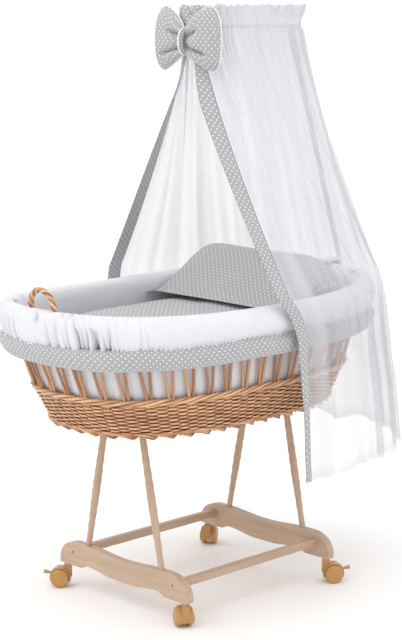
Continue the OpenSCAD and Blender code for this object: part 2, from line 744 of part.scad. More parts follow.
module castor_hood(side, s, turn, braked) {
    color("goldenrod") at_castor(side, s, turn) castor_hood_shape(braked);
}
module castor_axle(side, s, turn) { color("silver") at_castor(side, s, turn) castor_axle_shape(); }
module castor_wheel(side, s, turn, w) { color("goldenrod") at_castor(side, s, turn) castor_wheel_shape(w); }
module castor_brake(side, s, turn) { color("goldenrod") at_castor(side, s, turn) castor_brake_shape(); }

foot_rail();
head_rail();
left_stretcher();
right_stretcher();
rail_screws();
leg_foot_left();
leg_foot_right();
leg_head_left();
leg_head_right();
foot_bearer();
head_bearer();
bearer_screws();
castor_sockets();
castor_stem(-1, 1, turn_fl);  // castor_fl_stem
castor_hood(-1, 1, turn_fl, true);  // castor_fl_hood
castor_axle(-1, 1, turn_fl);  // castor_fl_axle
castor_wheel(-1, 1, turn_fl, 1);  // castor_fl_wheel_a
castor_wheel(-1, 1, turn_fl, -1);  // castor_fl_wheel_b
castor_brake(-1, 1, turn_fl);  // castor_fl_brake
castor_stem(-1, -1, turn_fr);  // castor_fr_stem
castor_hood(-1, -1, turn_fr, false);  // castor_fr_hood
castor_axle(-1, -1, turn_fr);  // castor_fr_axle
castor_wheel(-1, -1, turn_fr, 1);  // castor_fr_wheel_a
castor_wheel(-1, -1, turn_fr, -1);  // castor_fr_wheel_b
castor_stem(1, 1, turn_hl);  // castor_hl_stem
castor_hood(1, 1, turn_hl, false);  // castor_hl_hood
castor_axle(1, 1, turn_hl);  // castor_hl_axle
castor_wheel(1, 1, turn_hl, 1);  // castor_hl_wheel_a
castor_wheel(1, 1, turn_hl, -1);  // castor_hl_wheel_b
castor_stem(1, -1, turn_hr);  // castor_hr_stem
castor_hood(1, -1, turn_hr, true);  // castor_hr_hood
castor_axle(1, -1, turn_hr);  // castor_hr_axle
castor_wheel(1, -1, turn_hr, 1);  // castor_hr_wheel_a
castor_wheel(1, -1, turn_hr, -1);  // castor_hr_wheel_b
castor_brake(1, -1, turn_hr);  // castor_hr_brake
base_board();
foot_border();
weave_wall();
waling();
stakes();
rim_border();
handle();
mattress();
liner();
rim_cover();
dotted_band();
quilt();
pillow();
snap_button();
clamp_bracket();
clamp_pad();
clamp_screw();
pole_lower();
pole_upper();
hoop();
veil();
veil_band(1);  // left_veil_band
veil_band(-1);  // right_veil_band
bow();
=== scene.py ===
import math
import random

import bmesh
import bpy
import numpy as np
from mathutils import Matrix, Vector


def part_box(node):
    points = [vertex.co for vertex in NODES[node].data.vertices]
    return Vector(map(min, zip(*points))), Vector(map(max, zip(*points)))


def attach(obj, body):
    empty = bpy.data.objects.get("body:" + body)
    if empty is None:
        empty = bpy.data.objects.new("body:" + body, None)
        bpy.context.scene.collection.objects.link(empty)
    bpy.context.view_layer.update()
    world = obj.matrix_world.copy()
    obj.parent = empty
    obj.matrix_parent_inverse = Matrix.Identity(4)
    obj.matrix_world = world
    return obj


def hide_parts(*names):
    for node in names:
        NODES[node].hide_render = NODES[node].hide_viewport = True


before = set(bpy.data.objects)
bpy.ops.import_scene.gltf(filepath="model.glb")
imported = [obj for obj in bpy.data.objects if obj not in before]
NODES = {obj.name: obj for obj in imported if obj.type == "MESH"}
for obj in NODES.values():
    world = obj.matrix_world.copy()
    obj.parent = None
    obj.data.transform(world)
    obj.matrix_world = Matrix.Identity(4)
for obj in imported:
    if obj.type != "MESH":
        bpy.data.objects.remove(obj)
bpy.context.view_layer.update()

ROOT = "cradle"
TAU = 2 * math.pi


# Sizes, in metres, all from the frame

def middle(node):
    low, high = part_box(node)
    return (low + high) / 2


def half(node):
    low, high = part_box(node)
    return (high - low) / 2


BORDER_OUT = 0.003      # the foot border stands this far out of the wall
RIM_OUT = 0.006         # and the rim border this far
WEAVE_SIDE_OUT = 0.0014     # the weave at the sides stands back from the wall by this
RIM_R = 0.010
OUTLINE_N = 2.7         # 2 is an ellipse, and more is squarer
BASKET_X = middle("weave_wall").x
FOOT_Z = middle("foot_border").z
WEAVE_Z = middle("waling").z
RIM_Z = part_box("rim_border")[0].z + RIM_R
WALL_Z = [FOOT_Z, WEAVE_Z, RIM_Z]
WALL_A = [half("foot_border").x - BORDER_OUT,
          half("weave_wall").x + BORDER_OUT,
          half("rim_border").x - RIM_OUT]
WALL_B = [half("foot_border").y - BORDER_OUT,
          half("weave_wall").y + WEAVE_SIDE_OUT,
          half("rim_border").y - RIM_OUT]
COVER_RISE = 0.015      # rise of the rim's cloth at the two ends
PAIRS = 44              # pairs of stakes
UPRIGHTS = 2 * PAIRS

HOOP_R = 0.003          # the hoop's wire
HOOP_OVAL = 1.825       # length of the hoop for its width
HOOP_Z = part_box("hoop")[1].z - HOOP_R
HOOP_B = half("hoop").y - HOOP_R
HOOP_A = HOOP_OVAL * HOOP_B
HOOP_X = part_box("hoop")[0].x + HOOP_R + HOOP_A
RUFFLE_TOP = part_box("veil")[1].z
HEM_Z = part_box("veil")[0].z


def power(v, p):
    return np.sign(v) * np.abs(v) ** p


def outline(a, b, turn, n=OUTLINE_N):
    return a * power(np.cos(turn), 2 / n), b * power(np.sin(turn), 2 / n)


def along(points):
    """Length run at each point of a path."""
    steps = np.linalg.norm(np.diff(points, axis=0), axis=1)
    return np.concatenate([[0], np.cumsum(steps)])


TURNS = np.linspace(0, TAU, 1441)
RUN = along(np.stack(outline(WALL_A[1], WALL_B[1], TURNS), -1))
RIM_LENGTH = along(np.stack(outline(WALL_A[2], WALL_B[2], TURNS), -1))[-1]


def turn_at(share):
    """The outline's angle at a share of the way round the basket."""
    share = np.asarray(share, float)
    return np.floor(share) * TAU + np.interp(np.mod(share, 1) * RUN[-1], RUN, TURNS)


def on_wall(share, z, out=0.0, out_b=None, rise=0.0):
    """A point on the basket's wall, out from it, rising towards the ends."""
    share, z, out, rise = np.broadcast_arrays(share, z, out, rise)
    out_b = out if out_b is None else np.broadcast_to(out_b, share.shape)
    k = (z < WALL_Z[1]).astype(int)
    low, high = np.array(WALL_Z)[1 - k], np.array(WALL_Z)[2 - k]
    t = (z - low) / (high - low)
    a = np.array(WALL_A)[1 - k] * (1 - t) + np.array(WALL_A)[2 - k] * t
    b = np.array(WALL_B)[1 - k] * (1 - t) + np.array(WALL_B)[2 - k] * t
    x, y = outline(a + out, b + out_b, turn_at(share))
    return np.stack([BASKET_X + x, y, z + rise * (x / (a + out)) ** 2], -1)


def waves(share, counts, seed):
    """A smooth irregular wave round a closed loop, from about -1 to 1."""
    rng = random.Random(seed)
    total = sum(np.sin(TAU * (n * np.asarray(share) + rng.random())) for n in counts)
    return total / math.sqrt(len(counts))


def smooth(points, steps):
    """A soft curve through points, resampled."""
    points = np.asarray(points, float)
    ends = [2 * points[0] - points[1], *points, 2 * points[-1] - points[-2]]
    made = []
    for a, b, c, d in zip(ends, ends[1:], ends[2:], ends[3:]):
        t = np.linspace(0, 1, steps, endpoint=False)[:, None]
        made.append(((2 * b) + (c - a) * t + (2 * a - 5 * b + 4 * c - d) * t ** 2
                     + (3 * b - a - 3 * c + d) * t ** 3) / 2)
    return np.concatenate([*made, points[-1:]])


def ease(t):
    t = np.clip(t, 0, 1)
    return t * t * (3 - 2 * t)


# Meshes

class Shape:
    """Grids of points gathered into one mesh, each with its place on the cut cloth or rod and its tone."""

    def __init__(self):
        self.points, self.faces, self.cuts, self.tones = [], [], [], []
        self.count = 0

    def grid(self, points, cut=None, tone=0.5, loop_i=False, loop_j=False, caps=False):
        """Rows of points joined by quads; loop_i joins the last row to the first, loop_j each row's ends."""
        points = np.asarray(points, float)
        rows, cols = points.shape[:2]
        if cut is None:
            whole = np.concatenate([points, points[:1]]) if loop_i else points
            whole = np.concatenate([whole, whole[:, :1]], 1) if loop_j else whole
            u = along(whole[:, 0])[:, None] + np.zeros(whole.shape[1])
            v = along(whole[len(whole) // 2])[None] + np.zeros((len(whole), 1))
            cut = np.stack([u, v], -1)
        i, j = np.meshgrid(np.arange(rows - (not loop_i)), np.arange(cols - (not loop_j)), indexing="ij")
        i, j = i.ravel(), j.ravel()
        k, m = (i + 1) % rows, (j + 1) % cols
        quads = np.stack([i * cols + j, i * cols + m, k * cols + m, k * cols + j], -1)
        corners = np.stack([cut[i, j], cut[i, j + 1], cut[i + 1, j + 1], cut[i + 1, j]], 1)
        self.faces += (quads + self.count).tolist()
        self.cuts += corners.reshape(-1).tolist()
        if caps:
            for row, order in ((0, range(cols - 1, -1, -1)), (rows - 1, range(cols))):
                self.faces.append([self.count + row * cols + c for c in order])
                self.cuts += [w for c in order for w in cut[row, c]]
        self.points.append(points.reshape(-1, 3))
        tone = np.asarray(tone, float)
        tone = np.broadcast_to(tone if tone.ndim == 2 else tone.reshape(-1, 1), (rows, cols))
        self.tones.append(tone.reshape(-1))
        self.count += rows * cols

    def tube(self, path, radius, sides=6, tone=0.5, closed=False, up=(0, 0, 1), flat=1.0):
        """A rod along a path; up is a direction that the path never follows."""
        path = np.asarray(path, float)
        ahead = np.roll(path, -1, 0) - np.roll(path, 1, 0)
        if not closed:
            ahead[0], ahead[-1] = path[1] - path[0], path[-1] - path[-2]
        ahead /= np.linalg.norm(ahead, axis=1)[:, None]
        side = np.cross(ahead, up)
        side /= np.linalg.norm(side, axis=1)[:, None]
        over = np.cross(side, ahead)
        turn = np.arange(sides) * TAU / sides
        radius = np.broadcast_to(np.asarray(radius, float).reshape(-1, 1), (len(path), 1))[..., None]
        ring = side[:, None] * np.cos(turn)[:, None] * flat + over[:, None] * np.sin(turn)[:, None]
        self.grid(path[:, None] + radius * ring, tone=tone, loop_i=closed, loop_j=True, caps=not closed)

    def build(self, name, material, body=ROOT, slot=None, outwards=True):
        mesh = bpy.data.meshes.new(name)
        mesh.from_pydata(np.concatenate(self.points).tolist(), [], self.faces)
        layer = mesh.uv_layers.new(name="Cut")
        layer.data.foreach_set("uv", np.array(self.cuts, np.float32))
        tones = mesh.attributes.new("tone", "FLOAT", "POINT")
        tones.data.foreach_set("value", np.concatenate(self.tones).astype(np.float32))
        mesh.polygons.foreach_set("use_smooth", np.ones(len(mesh.polygons), bool))
        if outwards:
            b = bmesh.new()
            b.from_mesh(mesh)
            bmesh.ops.recalc_face_normals(b, faces=b.faces)
            b.to_mesh(mesh)
            b.free()
        piece = bpy.data.objects.new(name, mesh)
        bpy.context.scene.collection.objects.link(piece)
        mesh.materials.append(material)
        if body:
            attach(piece, body)
        return piece


def weld(piece, gap):
    """Joins the points within a gap of each other, and turns the faces out."""
    b = bmesh.new()
    b.from_mesh(piece.data)
    bmesh.ops.remove_doubles(b, verts=b.verts, dist=gap)
    bmesh.ops.recalc_face_normals(b, faces=b.faces)
    b.to_mesh(piece.data)
    b.free()


def round_cut(length, run, cols):
    """Places on the cut cloth for a sheet that goes right round, length long, with its rows at run."""
    return np.stack(np.broadcast_arrays(np.linspace(0, length, cols + 1)[:, None], run[None]), -1)


def apply_modifiers(piece):
    """Replaces a piece's mesh with what its modifiers make of it."""
    ready = piece.evaluated_get(bpy.context.evaluated_depsgraph_get())
    mesh = bpy.data.meshes.new_from_object(ready)
    piece.modifiers.clear()
    piece.data = mesh


# Materials

class Look:
    """A material: a Principled shader with the nodes that feed it."""

    def __init__(self, name, **sockets):
        self.material = bpy.data.materials.new(name)
        self.material.use_nodes = True
        self.tree = self.material.node_tree
        self.shader = self.tree.nodes["Principled BSDF"]
        for socket, value in sockets.items():
            self.shader.inputs[socket.replace("_", " ")].default_value = value

    def add(self, kind, inputs=(), out=0, **settings):
        made = self.tree.nodes.new("ShaderNode" + kind)
        for key, value in settings.items():
            setattr(made, key, value)
        for key, value in (inputs.items() if isinstance(inputs, dict) else enumerate(inputs)):
            if isinstance(value, bpy.types.NodeSocket):
                self.tree.links.new(value, made.inputs[key])
            else:
                made.inputs[key].default_value = value
        return made.outputs[out]

    def maths(self, operation, *values):
        return self.add("Math", values, operation=operation)

    def vector(self, operation, *values):
        made = self.add("VectorMath", values, operation=operation)
        return made.node.outputs["Value"] if operation in ("LENGTH", "DISTANCE") else made

    def mix(self, share, a, b):
        return self.add("Mix", {0: share, 6: a, 7: b}, out=2, data_type="RGBA")

    def cut(self):
        return self.add("UVMap", uv_map="Cut")

    def place(self):
        return self.add("TexCoord", out=3)

    def noise(self, where, scale, detail=2.0, stretch=(1, 1, 1)):
        where = self.vector("MULTIPLY", where, stretch)
        return self.add("TexNoise", {"Vector": where, "Scale": scale, "Detail": detail})

    def spread(self, value, low, high):
        """Stretches a noise's usual range to run from low to high."""
        return self.add("MapRange", {0: value, 1: 0.3, 2: 0.7, 3: low, 4: high})

    def bump(self, height, distance, strength=1.0, below=None):
        inputs = {"Height": height, "Distance": distance, "Strength": strength}
        if below is not None:
            inputs["Normal"] = below
        return self.add("Bump", inputs)

    def set(self, **links):
        for socket, value in links.items():
            self.tree.links.new(value, self.shader.inputs[socket.replace("_", " ")])
        return self.material


WORLD = 1.06            # strength of the light from all round
LIT = 1.22              # what a surface in the open receives from all the lights together


def rgb(r, g, b):
    """A colour given as it looks on a screen, 0 to 255, in this scene's light."""
    return tuple(((v / 255 + 0.055) / 1.055) ** 2.4 / LIT for v in (r, g, b)) + (1.0,)


THREAD = 0.0007         # spacing of a cotton's threads
DOT_PITCH = 0.0136      # side of the square lattice of dots, which has one more dot in each square's middle
DOT_SIZE = 0.0036


def duller(colour, by):
    return tuple(c * (1 - by) for c in colour[:3]) + (1.0,)


def cloth_bump(look, where, thread=THREAD, creases=0.0006):
    across = look.vector("MULTIPLY", where, (1 / thread,) * 3)
    warp = look.add("TexWave", {"Vector": across, "Scale": 0.31}, bands_direction="X")
    weft = look.add("TexWave", {"Vector": across, "Scale": 0.31}, bands_direction="Y")
    woven = look.maths("ADD", warp.node.outputs[1], weft.node.outputs[1])
    threads = look.bump(woven, thread * 0.1, 0.35)
    soft = look.noise(where, 38, 3)
    return look.bump(soft, creases * 10, 0.5, threads)


def cotton(name, colour, dotted=None, flat=False, pitch=DOT_PITCH, size=DOT_SIZE, shade=0.06):
    """Plain or dotted cotton; flat lays its pattern from above, and otherwise it follows the cut cloth."""
    look = Look(name, Roughness=0.85, Sheen_Weight=0.25, Sheen_Roughness=0.5, Specular_IOR_Level=0.25)
    where = look.place() if flat else look.cut()
    patch = look.spread(look.noise(where, 9, 3), 0.0, 1.0)
    base = look.mix(patch, duller(colour, shade), colour)
    if dotted:
        floor = look.vector("MULTIPLY", where, (1 / pitch, 1 / pitch, 0))
        near = []
        for shift in ((0, 0, 0), (0.5, 0.5, 0)):
            cell = look.vector("FRACTION", look.vector("ADD", floor, shift))
            near.append(look.vector("DISTANCE", cell, (0.5, 0.5, 0)))
        away = look.maths("MINIMUM", *near)
        edge = size / 2 / pitch
        dot = look.add("MapRange", {0: away, 1: edge * 0.85, 2: edge * 1.15, 3: 1.0, 4: 0.0})
        base = look.mix(dot, base, dotted)
    return look.set(Base_Color=base, Normal=cloth_bump(look, where))


def wicker(name, light, dark):
    look = Look(name, Roughness=0.38, Coat_Weight=0.25, Coat_Roughness=0.3)
    tone = look.add("Attribute", out=2, attribute_name="tone")
    where = look.cut()
    streak = look.noise(where, 60, 4, (0.35, 6, 1))
    mottle = look.noise(where, 45, 2, (1, 1, 1))
    share = look.maths("ADD", tone, look.maths("MULTIPLY", look.maths("SUBTRACT", streak, 0.5), 0.9))
    share = look.maths("ADD", share, look.maths("MULTIPLY", look.maths("SUBTRACT", mottle, 0.5), 0.6))
    share = look.add("MapRange", {0: share, 1: 0.0, 2: 1.0, 3: 0.0, 4: 1.0})
    return look.set(Base_Color=look.mix(share, dark, light), Normal=look.bump(streak, 0.0006, 0.6))


def wood(name, grain, light, dark):
    """Grain is the axis along which the wood runs: 0, 1 or 2."""
    look = Look(name, Roughness=0.42, Coat_Weight=0.12, Coat_Roughness=0.35)
    where = look.place()
    stretch = [9.0] * 3
    stretch[grain] = 0.6
    streak = look.noise(where, 9, 5, tuple(stretch))
    pores = look.noise(where, 160, 2, tuple(0.12 if k == grain else 1.6 for k in range(3)))
    share = look.spread(streak, 0.0, 1.0)
    fleck = look.add("MapRange", {0: pores, 1: 0.62, 2: 0.72, 3: 0.0, 4: 0.45})
    colour = look.mix(fleck, look.mix(share, dark, light), dark)
    rough = look.spread(streak, 0.38, 0.5)
    return look.set(Base_Color=colour, Roughness=rough, Normal=look.bump(streak, 0.0004, 0.35))


def moulded(name, colour, rough):
    look = Look(name, Roughness=rough)
    where = look.place()
    cloud = look.spread(look.noise(where, 30, 3), 0.0, 1.0)
    fine = look.noise(where, 1400, 2)
    smear = look.spread(look.noise(where, 70, 3), rough - 0.06, rough + 0.1)
    return look.set(Base_Color=look.mix(cloud, duller(colour, 0.10), colour), Roughness=smear,
                    Normal=look.bump(fine, 0.00006, 0.5))


def metal(name, colour):
    look = Look(name, Metallic=1.0, Roughness=0.3)
    where = look.place()
    brushed = look.noise(where, 400, 2, (1, 1, 0.1))
    cloud = look.spread(look.noise(where, 50, 2), 0.0, 1.0)
    return look.set(Base_Color=look.mix(cloud, duller(colour, 0.2), colour),
                    Roughness=look.spread(brushed, 0.25, 0.42),
                    Normal=look.bump(brushed, 0.00003, 0.4))


def voile(name, colour, open_share, close_share):
    """Sheer cloth: its alpha is higher where the gathers pack it."""
    look = Look(name, Roughness=0.7, Sheen_Weight=0.3, Specular_IOR_Level=0.2)
    where = look.cut()
    tone = look.add("Attribute", out=2, attribute_name="tone")
    streak = look.noise(where, 24, 3, (0.06, 1, 1))
    share = look.maths("ADD", tone, look.maths("MULTIPLY", look.maths("SUBTRACT", streak, 0.5), 0.5))
    alpha = look.add("MapRange", {0: share, 1: 0.0, 2: 1.0, 3: open_share, 4: close_share})
    patch = look.spread(look.noise(where, 6, 3), 0.0, 1.0)
    return look.set(Base_Color=look.mix(patch, duller(colour, 0.05), colour), Alpha=alpha,
                    Normal=cloth_bump(look, where, 0.0009, 0.0004))


GREY = rgb(184, 185, 187)
WHITE_DOT = rgb(244, 244, 246)
COTTON_WHITE = rgb(242, 242, 246)
look_dots = cotton("dotted_cotton_look", GREY, WHITE_DOT)
look_flat_dots = cotton("dotted_quilt_look", GREY, WHITE_DOT, flat=True)
look_white = cotton("white_cotton_look", COTTON_WHITE, shade=0.03)
look_mattress = cotton("mattress_look", rgb(232, 231, 228), rgb(214, 214, 214), flat=True,
                       pitch=0.03, size=0.006)
look_wicker = wicker("wicker_look", rgb(250, 202, 154), rgb(146, 76, 40))
look_stake = wicker("stake_look", rgb(226, 174, 128), rgb(160, 98, 62))
WOOD_LIGHT, WOOD_DARK = rgb(210, 182, 157), rgb(193, 163, 138)
look_wood = [wood("beech_look_" + "xyz"[k], k, WOOD_LIGHT, WOOD_DARK) for k in range(3)]
look_plywood = wood("plywood_look", 0, rgb(206, 174, 132), rgb(180, 142, 100))
look_castor = moulded("castor_look", rgb(204, 153, 92), 0.36)
look_steel = metal("steel_look", rgb(205, 205, 205))
look_powder = moulded("powder_coat_look", rgb(238, 238, 238), 0.4)
look_clamp = moulded("clamp_plastic_look", rgb(236, 236, 238), 0.42)
look_rubber = moulded("rubber_look", rgb(70, 70, 70), 0.7)
look_button = moulded("button_look", rgb(238, 240, 248), 0.16)
look_voile = voile("voile_look", rgb(231, 231, 237), 0.36, 0.88)


# CAD nodes whose shape is right keep it, and get a better surface

def dress(material, *nodes):
    for name in nodes:
        for slot in NODES[name].material_slots:
            slot.material = material


dress(look_wood[1], "foot_rail", "head_rail", "foot_bearer", "head_bearer")
dress(look_wood[0], "left_stretcher", "right_stretcher")
dress(look_wood[2], "leg_foot_left", "leg_foot_right", "leg_head_left", "leg_head_right")
dress(look_plywood, "base_board")
dress(look_steel, "rail_screws", "bearer_screws", "castor_sockets")
for corner in ("fl", "fr", "hl", "hr"):
    dress(look_steel, f"castor_{corner}_stem", f"castor_{corner}_axle")
    dress(look_castor, f"castor_{corner}_hood", f"castor_{corner}_wheel_a", f"castor_{corner}_wheel_b")
dress(look_castor, "castor_fl_brake", "castor_hr_brake")
dress(look_powder, "clamp_bracket", "pole_lower", "pole_upper", "hoop")
dress(look_clamp, "clamp_screw")
dress(look_rubber, "clamp_pad")
dress(look_stake, "rim_border")
dress(look_button, "snap_button")
dress(look_mattress, "mattress")


# Wicker

ROD = 0.0042            # rise from one row of the weave to the next
ROD_R = 0.0020
ROD_WANDER = 0.0004     # how far a row strays up and down
WEAVE_IN = 0.0042       # depth of the weave's middle behind its face
WEAVE_SWING = 0.0034    # a rod's way out over one upright and in behind the next
WEAVE_EDGE = 0.006      # the weave starts and ends this far inside the two borders
UPRIGHT_R = 0.0026
STEPS = 10              # points on a rod for each of its waves


def woven_wall():
    shape = Shape()
    rng = random.Random(3)
    low, high = FOOT_Z + WEAVE_EDGE, WEAVE_Z - WEAVE_EDGE
    rows = round((high - low) / ROD)
    share = np.linspace(0, 1, PAIRS * STEPS, endpoint=False)
    for row in range(rows):
        z = low + (high - low) * (row + 0.5) / rows
        shift = 0.5 * (row % 2)
        swing = np.sin(TAU * (PAIRS * share + shift + 0.25))
        drift = waves(share, (3, 7, 11, 17), 100 + row)
        amp = WEAVE_SWING * (1 + 0.12 * waves(share, (13, 29, 31), 300 + row))
        out = -WEAVE_IN + 0.0006 + amp * np.sign(swing) * np.abs(swing) ** 0.75
        height = z + ROD_WANDER * drift
        # the swing term paints each rod lighter where it comes out over an upright and darker where it passes
        # behind the next: a painted highlight and painted shade. The rest of its tone varies at random
        tone = 0.55 + 0.15 * waves(share, (2, 5, 9, 14), 500 + row) + 0.32 * swing + rng.uniform(-0.12, 0.12)
        radius = ROD_R * (1 + 0.08 * waves(share, (4, 9), 700 + row))
        shape.tube(on_wall(share, height, out), radius, 6, tone, closed=True, flat=0.9)
    for k in range(UPRIGHTS):
        at = (k + 0.5) / UPRIGHTS
        z = np.linspace(FOOT_Z - 0.001, WEAVE_Z - 0.002, 5)
        up = (0, 0.6, 0.8) if abs(math.cos(turn_at(at))) > 0.7 else (0.6, 0, 0.8)
        shape.tube(on_wall(np.full(5, at), z, -WEAVE_IN), UPRIGHT_R, 6, rng.uniform(0.0, 0.2), up=up)
    # a dark sheet (tone -0.35) behind the rows, at the depth of their inner swing: painted shade that shows
    # in the gaps between rods
    levels = np.linspace(low - 0.004, high + 0.004, 4)
    shape.grid(on_wall(share[:, None], levels[None], -WEAVE_IN - WEAVE_SWING), tone=-0.35, loop_i=True)
    piece = shape.build("woven_wall", look_wicker, slot="wicker")
    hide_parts("weave_wall")


WALE_STRANDS = 4
WALE_SPREAD = 0.0042    # from the twist's middle to each strand's
WALE_R = 0.0030


def waling():
    """The heavier top row: strands laid over each other, with their cut ends beside the stakes."""
    shape = Shape()
    rng = random.Random(6)
    share = np.linspace(0, 1, PAIRS * 14, endpoint=False)
    for k in range(WALE_STRANDS):
        turn = TAU * (PAIRS // 3 * share + k / WALE_STRANDS)
        off = -0.0025 + WALE_SPREAD * np.cos(turn)
        height = WEAVE_Z + 1.15 * WALE_SPREAD * np.sin(turn) + 0.0005 * waves(share, (9, 16, 25), 130 + k)
        # the cos(turn) term paints a strand lighter where its twist brings it out and darker where it turns
        # in behind the others: a painted highlight and painted shade. The rest of its tone varies at random
        tone = 0.45 + 0.18 * waves(share, (3, 8, 13), 120 + k) + 0.38 * np.cos(turn)
        shape.tube(on_wall(share, height, off), WALE_R, 8, tone, closed=True)
    t = np.linspace(0, 1, 5)
    for k in range(PAIRS):
        start = (k + 0.5 + rng.uniform(0.16, 0.24)) / PAIRS
        reach = rng.uniform(0.008, 0.013)
        path = on_wall(start + 0.16 * t / PAIRS, WEAVE_Z + reach * (1 - t), -0.0075 + 0.002 * t)
        shape.tube(path, 0.0008 + 0.0018 * t ** 0.6, 6, rng.uniform(0.0, 0.5))
    piece = shape.build("waling_rods", look_wicker, slot="wicker")
    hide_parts("waling")


# The way of a foot border's rod: along the wall in stake pairs, up from the border's middle, and out
SCALLOP = [(0.00, 0.0075, -0.0045), (0.30, 0.0060, 0.0010), (0.70, 0.0015, 0.0030), (0.98, -0.0040, 0.0018),
           (1.06, -0.0042, -0.0010), (1.18, -0.0005, -0.0055), (1.30, 0.0040, -0.0080)]
BORDER_RODS = 4         # to a bundle


def foot_border():
    """Rods turned down at each upright, in bundles that end in points."""
    shape = Shape()
    rng = random.Random(5)
    path = smooth(SCALLOP, 4)
    for k in range(PAIRS):
        for rod in range(BORDER_RODS):
            lead = 0.26 * rod + rng.uniform(-0.03, 0.03)
            share = (k + lead + path[:, 0] * (1.30 - lead * 0.9)) / PAIRS
            lift = 0.0036 * rod * np.exp(-((path[:, 0] - 1) / 0.5) ** 2) + rng.uniform(-0.0004, 0.0004)
            tone = rng.uniform(0.25, 0.85) + 0.25 * np.sin(math.pi * np.clip(path[:, 0], 0, 1)) - 0.15
            where = on_wall(share, FOOT_Z + path[:, 1] + lift, path[:, 2] - 0.0008 * rod)
            shape.tube(where, 0.0024 - 0.0006 * path[:, 0], 7, tone)
    share = np.linspace(0, 1, PAIRS * 8, endpoint=False)
    shape.tube(on_wall(share, FOOT_Z + 0.004, -WEAVE_IN - 0.003), 0.004, 6, 0.1, closed=True)
    piece = shape.build("foot_braid", look_wicker, slot="wicker")
    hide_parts("foot_border")


def stakes():
    shape = Shape()
    rng = random.Random(9)
    t = np.linspace(0, 1, 9)
    for k in range(PAIRS):
        lean = rng.uniform(-0.05, 0.05)
        for e in (-1, 1):
            close = 0.072 + rng.uniform(-0.012, 0.018)
            splay = 0.31 + rng.uniform(-0.05, 0.05)
            share = (k + 0.5 + e * (close + (splay - close) * t) + lean * t) / PAIRS
            z = WEAVE_Z - 0.014 + (RIM_Z - WEAVE_Z + 0.004) * t
            out = -0.004 + 0.0012 * np.sin(math.pi * t) * rng.uniform(-1, 1)
            radius = rng.uniform(0.0031, 0.0038) * (1 - 0.08 * t)
            tone = rng.uniform(0.3, 0.85) + 0.12 * np.sin(4 * t + rng.uniform(0, 6))
            path = on_wall(share, z, out)
            turn = float(turn_at((k + 0.5) / PAIRS))
            shape.tube(path, radius, 8, tone, up=(math.cos(turn), math.sin(turn), 0))
    piece = shape.build("stake_pairs", look_stake, slot="wicker")
    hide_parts("stakes")


HANDLE = middle("handle")
HANDLE_R = 0.036        # radius of its arch
HANDLE_UP = 0.037       # the arch's centre over the rim
HANDLE_POST = 0.034     # the straight ends below that
HANDLE_ROD = 0.0036     # from the twist's middle to each strand's
HANDLE_TWIST = 0.036    # length of one turn of the twist
HANDLE_LEAN = math.radians(8)


def handle():
    """A twisted wicker arch that stands in the rim at the foot end."""
    post = np.linspace(-HANDLE_POST, 0, 18, endpoint=False)
    turn = np.linspace(0, math.pi, 60)
    flat = np.concatenate([
        np.stack([np.full(len(post), HANDLE_R), post], -1),
        np.stack([HANDLE_R * np.cos(turn), HANDLE_R * np.sin(turn)], -1),
        np.stack([np.full(len(post), -HANDLE_R), post[::-1]], -1)])
    run = along(flat)
    ahead = np.gradient(flat, axis=0)
    ahead /= np.linalg.norm(ahead, axis=1)[:, None]
    rest = Vector((BASKET_X - WALL_A[2] + 0.002, HANDLE.y, RIM_Z + HANDLE_UP))
    shape = Shape()
    for k, tone in enumerate((1.0, 0.30, 0.75, 0.10)):
        twist = TAU * (run / HANDLE_TWIST + k / 4)
        off = HANDLE_ROD * np.cos(twist)
        across = HANDLE_ROD * np.sin(twist)
        bent = flat + np.stack([ahead[:, 1], -ahead[:, 0]], -1) * off[:, None]
        x = across - bent[:, 1] * math.sin(HANDLE_LEAN)
        path = np.stack([rest.x + x, rest.y + bent[:, 0], rest.z + bent[:, 1] * math.cos(HANDLE_LEAN)], -1)
        shape.tube(path, 0.0027, 8, tone, up=(1, 0, 0.1))
    piece = shape.build("foot_handle", look_wicker, slot="wicker")
    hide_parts("handle")


# Gathered cloth round the rim

def make_creases(seed, zone, closest, widest, depth, narrow, wide):
    """Creases round a closed loop, closest together where zone is 1 and widest apart where it is 0."""
    rng = random.Random(seed)
    made, share = [], rng.random() * 0.004
    while share < 0.999:
        strength = zone(share)
        made.append((share, depth * rng.uniform(0.5, 1.2) * (0.10 + 0.90 * strength),
                     rng.uniform(narrow, wide), rng.uniform(-0.6, 0.6), rng.random(),
                     rng.uniform(0.5, 1.1)))
        share += rng.uniform(0.7, 1.4) * (widest + (closest - widest) * strength ** 0.4) / RIM_LENGTH
    return made


def crease_depth(share, v, creases):
    """How far the creases draw a cloth in. v runs from 0 at its upper seam to 1 at its lower one."""
    total = np.zeros(np.broadcast(share, v).shape)
    for at, depth, width, slant, kind, reach in creases:
        off = (share - at + 0.5) % 1 - 0.5
        near = np.nonzero(np.abs(off[:, 0]) * RIM_LENGTH < 0.05)[0]
        if len(near) == 0:
            continue
        away = np.abs(off[near] * RIM_LENGTH - slant * 0.02 * (v - 0.5))
        from_seam = (1 - v) if kind < 0.6 else v
        fade = ease(1 - from_seam / reach)
        wide = width * (1 + 0.8 * from_seam)
        total[near] += depth * fade * np.maximum(0, 1 - away / wide) ** 1.7
    return total


def corner_zone(share):
    """1 where the gathers are, a little way round each corner from the ends, and 0 between."""
    turn = float(turn_at(share))
    from_end = math.degrees(math.atan2(abs(math.sin(turn)), abs(math.cos(turn))))
    main = math.exp(-((from_end - 21) / 16) ** 4)
    lone = 0.75 * math.exp(-((from_end - 46) / 3) ** 2)
    return max(main, lone)


def corner_creases(share, v, seed, **sizes):
    return crease_depth(share, v, make_creases(seed, corner_zone, **sizes))


